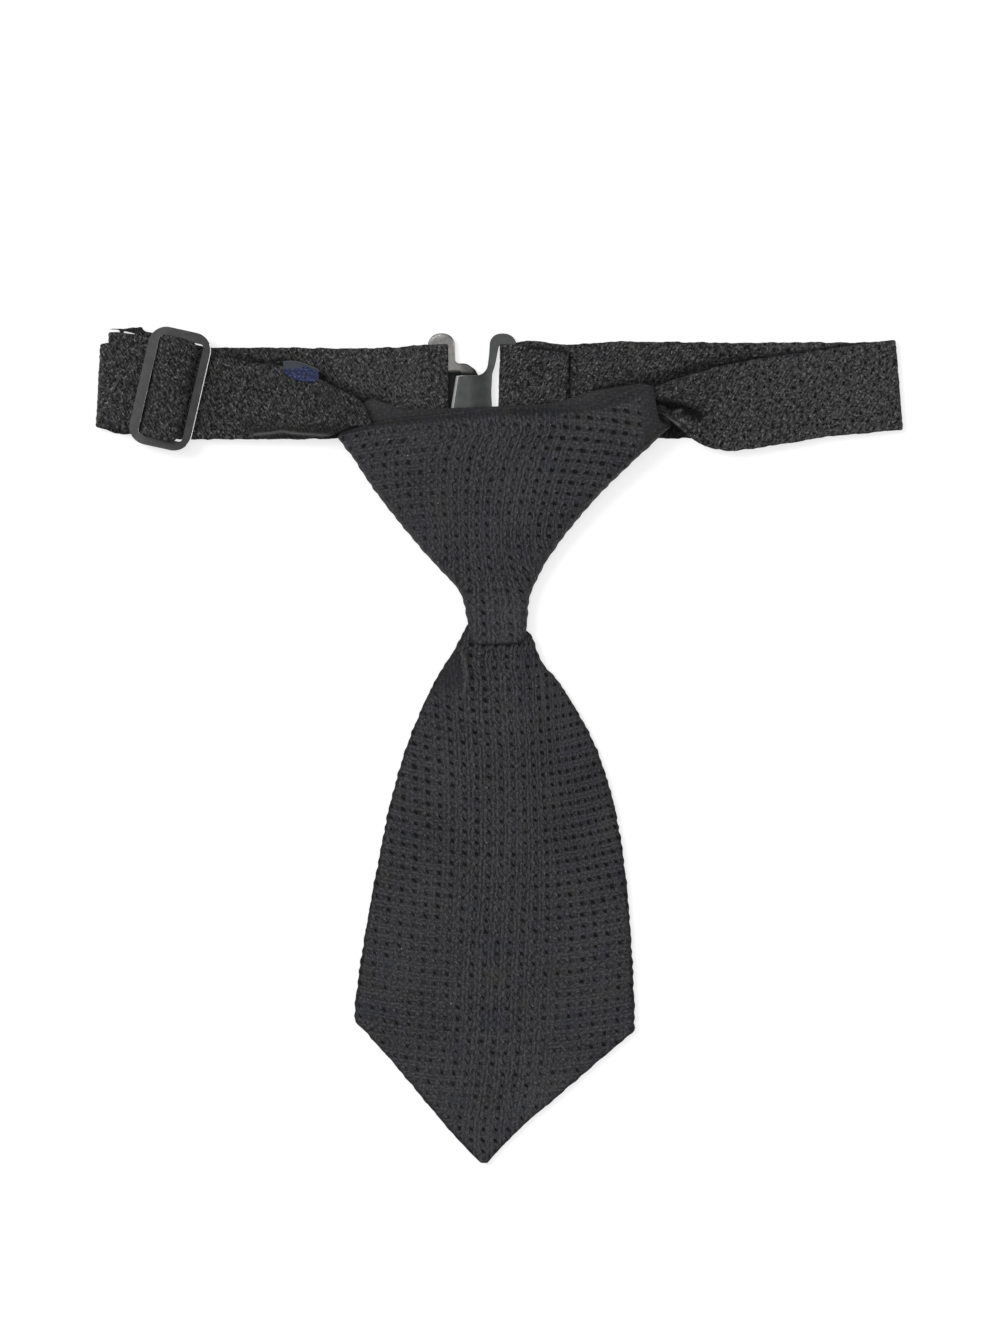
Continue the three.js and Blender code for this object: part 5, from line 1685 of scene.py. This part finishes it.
@dataclass
class Slider(MetalPart):
    """The flat three-bar adjuster, a little askew, with a painted highlight along its outer right edge."""

    node: str = "slider"
    x: float = -72.9
    y: float = 79.05
    packed_tilt: float = 12.3  # degrees
    side_tilt: float = 12.9
    end_tilt: float = 12.4
    stretch: float = 1.015
    drop: float = -0.25
    rounding: float = 0.3
    half_width: float = 7.0
    thinning: float = 0.36  # how much narrower the right bar is than packed
    window_height: float = 11.8  # half of it, with its rounded edges

    def build(self, finish: Material) -> None:
        """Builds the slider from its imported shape.

        Args:
            finish: Its paint.
        """
        work = bmesh.new()
        work.from_mesh(bpy.data.objects[self.node].data)
        bmesh.ops.remove_doubles(work, verts=work.verts, dist=0.003 * MM)
        back = Matrix.Rotation(math.radians(self.packed_tilt), 3, "Z")
        side, end = math.radians(self.side_tilt), math.radians(self.end_tilt)
        upper, lower = (math.cos(end), math.sin(side), 0.0), (-math.sin(end), math.cos(side), 0.0)
        skew = Matrix((upper, lower, (0.0, 0.0, 1.0)))
        middle = Vector((self.x, self.y, 0.0)) * MM
        grow = Matrix.Diagonal((1.0, self.stretch, 1.0))
        goal = middle + Vector((0.0, self.drop * MM, 0.0))
        turn = Matrix.Translation(goal) @ (skew @ grow @ back).to_4x4() @ Matrix.Translation(-middle)
        bmesh.ops.transform(work, matrix=turn, verts=work.verts)
        soften_edges(work, self.rounding, 3)
        for vert in work.verts:
            place = vert.co / MM
            away = self._away(place)
            if away < self.half_width - 1.4 and abs(self._up(place)) < self.window_height:
                vert.co += self._across() * self.thinning * float(ease(2.6, 4.2, away)) * MM
        self.dress(work, "slider_frame", "slider_black", finish)

    def _across(self) -> Vector:
        """Direction square to the slider's side bars."""
        tilt = math.radians(self.side_tilt)
        return Vector((math.cos(tilt), -math.sin(tilt), 0.0))

    def _away(self, place: Vector) -> float:
        """How far right of its middle a place on the slider is, square to its side bars."""
        return self._across().xy.dot((place - Vector((self.x, self.y, 0.0))).xy)

    def _up(self, place: Vector) -> float:
        """How far above its middle a place on the slider is, along its side bars."""
        tilt = math.radians(self.side_tilt)
        return Vector((math.sin(tilt), math.cos(tilt))).dot((place - Vector((self.x, self.y, 0.0))).xy)

    def black(self, place: Vector, facing: Vector) -> float:
        """How dark the slider is: its right bar is darker than the rest."""
        bare_and_highlight = self.worn(place, facing) > 1.0
        return 0.0 if bare_and_highlight else 0.3 * float(ease(2.5, 5, self._away(place)))

    def worn(self, place: Vector, facing: Vector) -> float:
        """How much lighter the slider is painted: a painted highlight along its outer right edge and the
        inner edge of its left bar, and its other edges a little rubbed.
        """
        away = self._away(place)
        outward = self._across().dot(facing)
        outer_right = away > self.half_width - 0.6 and outward > 0.03
        inner_left = 0.55 * (outward > 0.03) * (away < -4.0)
        return 1.4 if outer_right else max(inner_left, 0.15 * (1.0 - abs(facing.z)))


@dataclass
class ClaspPlate(MetalPart):
    """A flat half of the clasp, cut from sheet metal and bent."""

    thickness: float = 0.7
    level: float = 1.7
    rounding: float = 0.3

    def cut(self, outlines: list[list[Vector]]) -> Work:
        """Cuts the plate from sheet metal.

        Args:
            outlines: The outer outline and the openings, in metres.

        Returns:
            The flat plate, centred on height 0.
        """
        work = bmesh.new()
        for outline in outlines:
            verts = [work.verts.new(point) for point in outline]
            for one, other in zip(verts, verts[1:] + verts[:1]):
                work.edges.new((one, other))
        bmesh.ops.triangle_fill(work, use_beauty=True, use_dissolve=False, edges=work.edges)
        made = bmesh.ops.extrude_face_region(work, geom=work.faces[:])["geom"]
        raised = [item for item in made if isinstance(item, bmesh.types.BMVert)]
        bmesh.ops.translate(work, vec=(0.0, 0.0, self.thickness * MM), verts=raised)
        bmesh.ops.translate(work, vec=(0.0, 0.0, -0.5 * self.thickness * MM), verts=work.verts)
        bmesh.ops.recalc_face_normals(work, faces=work.faces)
        soften_edges(work, self.rounding, 4)
        bmesh.ops.triangulate(work, faces=[face for face in work.faces if len(face.verts) > 4])
        return work

    def score(self, work: Work, places: Array, across: Vector, way: Vector) -> None:
        """Scores the plate with lines along which it can bend.

        Args:
            work: The plate.
            places: Distances of the lines, in millimetres.
            across: A place on the line at distance 0.
            way: Direction in which the distances run.
        """
        for place in places:
            geom = work.verts[:] + work.edges[:] + work.faces[:]
            at = (across + way * place) * MM
            bmesh.ops.bisect_plane(work, geom=geom, dist=0.0001 * MM, plane_co=at, plane_no=way)

    def shine(self, facing: Vector) -> float:
        """How much painted highlight the metal takes: brighter wherever an edge turns away from above."""
        return 0.8 * (1.0 - facing.z**2) if facing.z > -0.2 else 0.0


@dataclass
class EyePlate(ClaspPlate):
    """The clasp's eye: a slot for the strap and a tongue that the hook holds."""

    node: str = "clasp_eye"
    middle: float = 78.5
    sink: float = 0.85  # how far the leg beside the strap's fold bends down
    upper: Corners = (
        (-4.4, 2.9, 0.8), (-5.4, 4.75, 1.4), (-7.3, 6.1, 2.0), (-9.8, 6.1, 0.9), (-9.9, 12.8, 2.7),
        (-15.9, 12.8, 2.7),
    )
    slot: Corners = ((-11.55, 10.1, 0.4), (-14.2, 10.1, 0.4))
    window: Corners = ((-6.4, 3.0, 0.5), (-8.9, 3.0, 0.5))

    def build(self, finish: Material) -> None:
        """Builds the eye.

        Args:
            finish: Its metal.
        """
        shapes = (self.upper, self.slot, self.window)
        work = self.cut([rounded_loop(mirrored(shape, self.middle)) for shape in shapes])
        centre = Vector((0.0, self.middle, 0.0))
        steps = np.linspace(3.2, 5, 8)
        self.score(work, np.concatenate([-steps, steps]), centre, Vector((0, 1, 0)))
        self.score(work, np.linspace(-9.1, -8.4, 4), Vector(), Vector((1, 0, 0)))
        for vert in work.verts:
            away = abs(vert.co.y / MM - self.middle)
            low = ease(4.6, 3.4, away) * ease(-8.4, -9.1, vert.co.x / MM)
            vert.co.z += (self.level - self.sink * float(low)) * MM
        self.dress(work, "clasp_eye_plate", "clasp_metal", finish)

    def worn(self, place: Vector, facing: Vector) -> float:
        """Painted highlights on the eye: its ears are paler towards their outer corners, and the inner
        edges beside them and the edges that turn away from above are brighter.
        """
        rise = abs(place.y - self.middle)
        ear = float(ease(9.5, 11.5, rise) * ease(-10.3, -13, place.x)) * (facing.z > 0.3)
        inner = 0.8 * (facing.x > 0.1) * (facing.z > 0.0) * (rise > 6.4) * (place.x > -10.6)
        return max(0.7 * self.shine(facing), 0.5 * ear, inner)

    def black(self, place: Vector, facing: Vector) -> float:
        """How dark the metal is painted: painted shade on the bar between the leaves, and on the tongue,
        most at its tip and rim.
        """
        away = abs(place.y - self.middle)
        bar = float(ease(4.6, 3.9, away)) * (place.x > -12.5)
        tip = float(ease(-6.6, -5.6, place.x))
        rim = float(facing.z < 0.97 and place.x > -8.9 and away > 4.0)
        tongue = 0.4 * float(ease(-9.4, -7.6, place.x))
        return max(bar, tip, rim, tongue)


@dataclass
class HookPlate(ClaspPlate):
    """The clasp's hook: a frame for the strap and a leaf folded under, round the eye's tongue."""

    node: str = "clasp_hook"
    middle: float = 78.15
    fold_x: float = -9.15
    fold_lean: float = 0.16
    fold_radius: float = 0.75
    step_left: float = -6.6
    step_right: float = -2.1
    upper: Corners = (
        (3.8, 13.2, 2.9), (-2.05, 13.0, 3.2), (-2.3, 8.5, 1.5), (-2.9, 3.8, 3.4), (-14.0, 3.6, 0.8),
    )
    slot: Corners = (
        (1.9, 10.7, 0.4), (-0.1, 10.7, 0.9), (-0.75, 7.2, 2.0), (-1.05, 5.9, 0.8), (-1.6, 4.2, 1.2),
        (-1.8, 0.6, 2.0),
    )

    def build(self, finish: Material) -> None:
        """Builds the hook.

        Args:
            finish: Its metal.
        """
        work = self.cut([rounded_loop(mirrored(shape, self.middle)) for shape in (self.upper, self.slot)])
        along = Vector((1.0, -self.fold_lean, 0.0)).normalized()
        line = Vector((self.fold_x, self.middle, 0.0))
        self.score(work, -np.linspace(0, math.pi * self.fold_radius, 11) * along.x, line, along)
        steps = np.linspace(self.step_left, self.step_right, 9)
        self.score(work, steps, Vector(), Vector((1, 0, 0)))
        for vert in work.verts:
            vert.co = self._bent(vert.co / MM) * MM
        self.dress(work, "clasp_hook_plate", "clasp_metal", finish)

    def worn(self, place: Vector, facing: Vector) -> float:
        """Painted highlights on the hook: the outside of the fold, the plate's upper edge and the edges
        that turn away from above are brighter.
        """
        fold = self.fold_x + self.fold_lean * (place.y - self.middle)
        folded = float(facing.x < -0.5 and place.x < fold and facing.z > -0.3)
        upper = float(facing.y > 0.1 and facing.z > -0.1 and 3.0 < place.y - self.middle < 7.5)
        return max(folded, upper, 0.45 * self.shine(facing))

    def _bent(self, place: Vector) -> Vector:
        """Bends a place of the flat plate: up to the leaf, and round the fold.

        Args:
            place: The place, with its height measured from the middle of the sheet.

        Returns:
            Where it ends up.
        """
        fold = self.fold_x + self.fold_lean * (place.y - self.middle)
        past = fold - place.x
        radius = self.fold_radius
        if past <= 0.0:
            rise = radius * float(ease(self.step_right, self.step_left, place.x))
            return Vector((place.x, place.y, self.level + rise + place.z))
        turn = min(past / radius, math.pi)
        beyond = max(past - math.pi * radius, 0.0)
        x = fold - (radius + place.z) * math.sin(turn) + beyond
        return Vector((x, place.y, self.level + (radius + place.z) * math.cos(turn)))


# The label


@dataclass
class Label:
    """The small plain tab of woven tape, folded over the band's upper edge."""

    node: str = "label"
    cloth: float = 0.4
    level: float = 5.0
    half_height: float = 1.0  # half the thickness that it is folded round
    reach: float = 0.6  # how far the fold stands above the band's edge
    behind: float = 1.4
    slope: float = 0.06
    front_share: float = 0.6
    fold_share: float = 0.2
    columns: int = 30
    rows: int = 30
    shape: Table = table("x top bottom", [
        (-47.9, 85, 82.8), (-47, 85.05, 81.9), (-45.66, 85.05, 81), (-44.3, 84.85, 80.6),
        (-43, 84.4, 80.45), (-41.66, 83.9, 80.3), (-40.6, 83.45, 80.3), (-40.2, 83.3, 80.5),
        (-39.97, 83.1, 81.2),
    ])

    def build(self, finish: Material) -> Piece:
        """Builds the label and puts it in place of its node.

        Args:
            finish: Its tape.

        Returns:
            The piece.
        """
        piece = skin_grid("label_tape", self.columns, 2 * self.rows + 2, self._shape, finish)
        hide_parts(self.node)
        return piece

    def _shape(self, column: Array, row: Array) -> Skin:
        """Shapes the label.

        Args:
            column: Column number of each point, across the tape.
            row: Row number of each point, along the outside and back along the inside.

        Returns:
            The points.
        """
        last = 2 * self.rows + 2
        outer = (row <= self.rows) | (row == last)
        step = np.where(row == last, 0.0, np.where(outer, row, 2 * self.rows + 1 - row)) / self.rows
        offset = np.where(outer, 0.5, -0.5) * self.cloth
        ends = self.shape.columns["x"]
        x = ends[0] + (ends[-1] - ends[0]) * column / self.columns
        top = self.shape.smooth("x", "top", x) - self.reach - 0.5 * self.cloth
        bottom = self.shape.smooth("x", "bottom", x)
        front = unit(step / self.front_share)
        angle = unit((step - self.front_share) / self.fold_share) * math.pi
        hidden = unit((step - self.front_share - self.fold_share) / 0.2)
        y = bottom + (top - bottom) * front + (self.reach + offset) * np.sin(angle) - self.behind * hidden
        bend = 0.1 * np.sin(1.1 * x) + 0.12 * (1.0 - front)
        z = self.level + (self.half_height + offset) * np.cos(angle) + self.slope * (x + 44.0) + bend
        # Painted light: the fold over the band's edge is painted paler, to a depth that grows towards the
        # left
        fold_light_depth = 0.4 + 1.2 * ease(-42.8, -45, x)
        fold_light = ease(-0.15, 0.15, y - (top + self.reach - fold_light_depth))
        return Skin(x, y, z, x, y, {Layer.OPEN: fold_light})


# The loose hem


@dataclass
class Hem:
    """The narrow fold of cloth that stands out above the strap beside the slider."""

    level: float = 2.2
    cloth: float = 0.5
    columns: int = 40
    rows: int = 10
    rim: float = 0.15
    tone: float = 0.3  # share of the open weave, the ribs and the shade
    shape: Table = table("x top bottom", [
        (-86.5, 92.3, 92.12), (-85.6, 92.3, 92.1), (-84.5, 92.25, 92), (-83.95, 92.25, 91.1),
        (-83.6, 92.3, 91.1), (-83.25, 92.3, 91.7), (-82.1, 92.45, 91.5), (-80.75, 92.6, 91.1),
        (-80.2, 92.65, 90.3), (-79.4, 92.7, 90), (-79, 92.1, 89.9), (-78.2, 91.5, 89.8),
        (-77.2, 91, 89.7),
    ])

    def build(self, finish: Material) -> Piece:
        """Builds the hem."""
        return skin_grid("loose_hem", self.columns, self.rows, self._shape, finish)

    def _shape(self, column: Array, row: Array) -> Skin:
        """Shapes the hem, round a flat section.

        Args:
            column: Column number of each point, along the hem.
            row: Row number of each point, round its section.

        Returns:
            The points.
        """
        ends = self.shape.columns["x"]
        x = ends[0] + (ends[-1] - ends[0]) * column / self.columns
        top = self.shape.smooth("x", "top", x)
        bottom = self.shape.smooth("x", "bottom", x)
        turn = 2.0 * math.pi * row / self.rows
        ragged = self.rim * 0.5 * Ripple(41, 1.2).at(x, 0.0 * x) * (np.cos(turn) > 0)
        bulge = np.sign(np.cos(turn)) * np.abs(np.cos(turn)) ** 0.6
        y = 0.5 * (top + bottom) + 0.5 * (top - bottom) * bulge + ragged
        z = self.level + 0.5 * self.cloth * np.sin(turn) + 0.1 * Ripple(42, 3).at(x, 0.0 * x)
        even = np.full(len(x), self.tone)
        return Skin(x, y, z, x, y, {Layer.OPEN: even, Layer.RIBS: even, Layer.SHADE: even})


# Stitches


@dataclass
class Stitches:
    """The row of stitches beside the clasp's hook."""

    thread: float = 0.34  # thickness
    length: float = 1.5
    start: tuple[float, float, float] = (15.2, 70.0, 2.4)
    end: tuple[float, float, float] = (15.2, 86.5, 2.4)
    count: int = 8

    def build(self, finish: Material) -> Piece:
        """Sews the row.

        Args:
            finish: Its thread.

        Returns:
            The piece.
        """
        work = bmesh.new()
        start, end = Vector(self.start), Vector(self.end)
        turn = (end - start).normalized().to_track_quat("Z", "Y").to_matrix().to_4x4()
        size = Matrix.Diagonal((self.thread * MM, self.thread * MM, self.length * MM, 1.0))
        for i in range(self.count):
            middle = start.lerp(end, i / (self.count - 1))
            made = bmesh.ops.create_uvsphere(work, u_segments=8, v_segments=6, radius=0.5)
            place = Matrix.Translation(middle * MM) @ turn @ size
            bmesh.ops.transform(work, matrix=place, verts=made["verts"])
        return finished("flap_stitches", mesh_of(work, "flap_stitches"), finish)


# Floor, light and camera


@dataclass
class Studio:
    """A plain white floor, soft light from the upper left, and a camera straight above."""

    view_height: float = 0.2964  # what the picture shows from its lower to its upper edge
    view_x: float = 0.00011
    view_y: float = 0.01724
    distance: float = 1.5
    sensor: float = 36.0
    floor_size: float = 6.0
    key_power: float = 15.5
    top_power: float = 11.5
    fill_power: float = 5.0
    sky: float = 0.62
    zenith: float = 0.45
    floor_glow: float = 0.61
    floor_tone: float = 0.32

    def camera(self) -> None:
        """Puts the camera straight above the tie, as far off as a long lens stands."""
        data = bpy.data.cameras.new("camera")
        data.sensor_width = self.sensor
        data.lens = self.sensor * self.distance / self.view_height
        data.clip_end = 20.0
        made = put("camera", data)
        made.location = (self.view_x, self.view_y, self.distance)
        bpy.context.scene.camera = made

    def floor(self) -> None:
        """Lays the floor."""
        work = bmesh.new()
        bmesh.ops.create_grid(work, x_segments=1, y_segments=1, size=0.5 * self.floor_size)
        mesh = mesh_of(work, "floor")
        mesh.materials.append(Surface("white_paper").done(
            Base_Color=(self.floor_tone,) * 3, Roughness=0.9, Specular_IOR_Level=0.1, Emission_Color=WHITE,
            Emission_Strength=self.floor_glow,
        ))
        made = put("floor", mesh)

    def lights(self) -> None:
        """Sets the soft key light, a weak fill and a pale sky."""
        self._lamp("key", Vector((-0.72, 0.46, 1.3)), 0.5, self.key_power)
        self._lamp("overhead", Vector((-0.1, 0.1, 1.7)), 0.8, self.top_power)
        self._lamp("fill", Vector((0.9, -0.2, 1.3)), 0.9, self.fill_power)
        world = bpy.data.worlds.new("sky")
        world.use_nodes = True
        b = Bench(world.node_tree)
        place = b.wire("ShaderNodeTexCoord", "Generated")
        level = b.ramp(b.split(place)[2], 0.25, 0.95, self.sky, self.zenith)
        b.fill(world.node_tree.nodes["Background"], Color=WHITE, Strength=level)
        bpy.context.scene.world = world

    def _lamp(self, name: str, place: Vector, size: float, power: float) -> None:
        """Hangs a square soft lamp that faces the tie."""
        data = bpy.data.lights.new(name, "AREA")
        data.shape = "SQUARE"
        data.size = size
        data.energy = power
        lamp = put(name, data)
        lamp.location = place
        lamp.rotation_euler = (-place).to_track_quat("-Z", "Y").to_euler()


def main() -> None:
    """Builds the tie's looks, piece by piece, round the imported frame."""
    logging.basicConfig(level=logging.INFO, format="%(name)s %(message)s")
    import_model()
    studio = Studio()
    studio.camera()
    studio.floor()
    studio.lights()
    bpy.context.scene.view_settings.view_transform = "Standard"
    silk = FACE_SILK.material()
    Blade().build(silk)
    Knot().build(silk)
    band = Band()
    crinkled = BAND_SILK.material()
    strip = band.build(crinkled)
    hem = Hem().build(crinkled)
    Slider().build(SLIDER_PAINT.material())
    EyePlate().build(DULL_NICKEL.material())
    HookPlate().build(GUNMETAL.material())
    label = Label().build(LABEL_TAPE.material())
    row = Stitches().build(BLACK_THREAD.material())


if __name__ == "__main__":
    main()
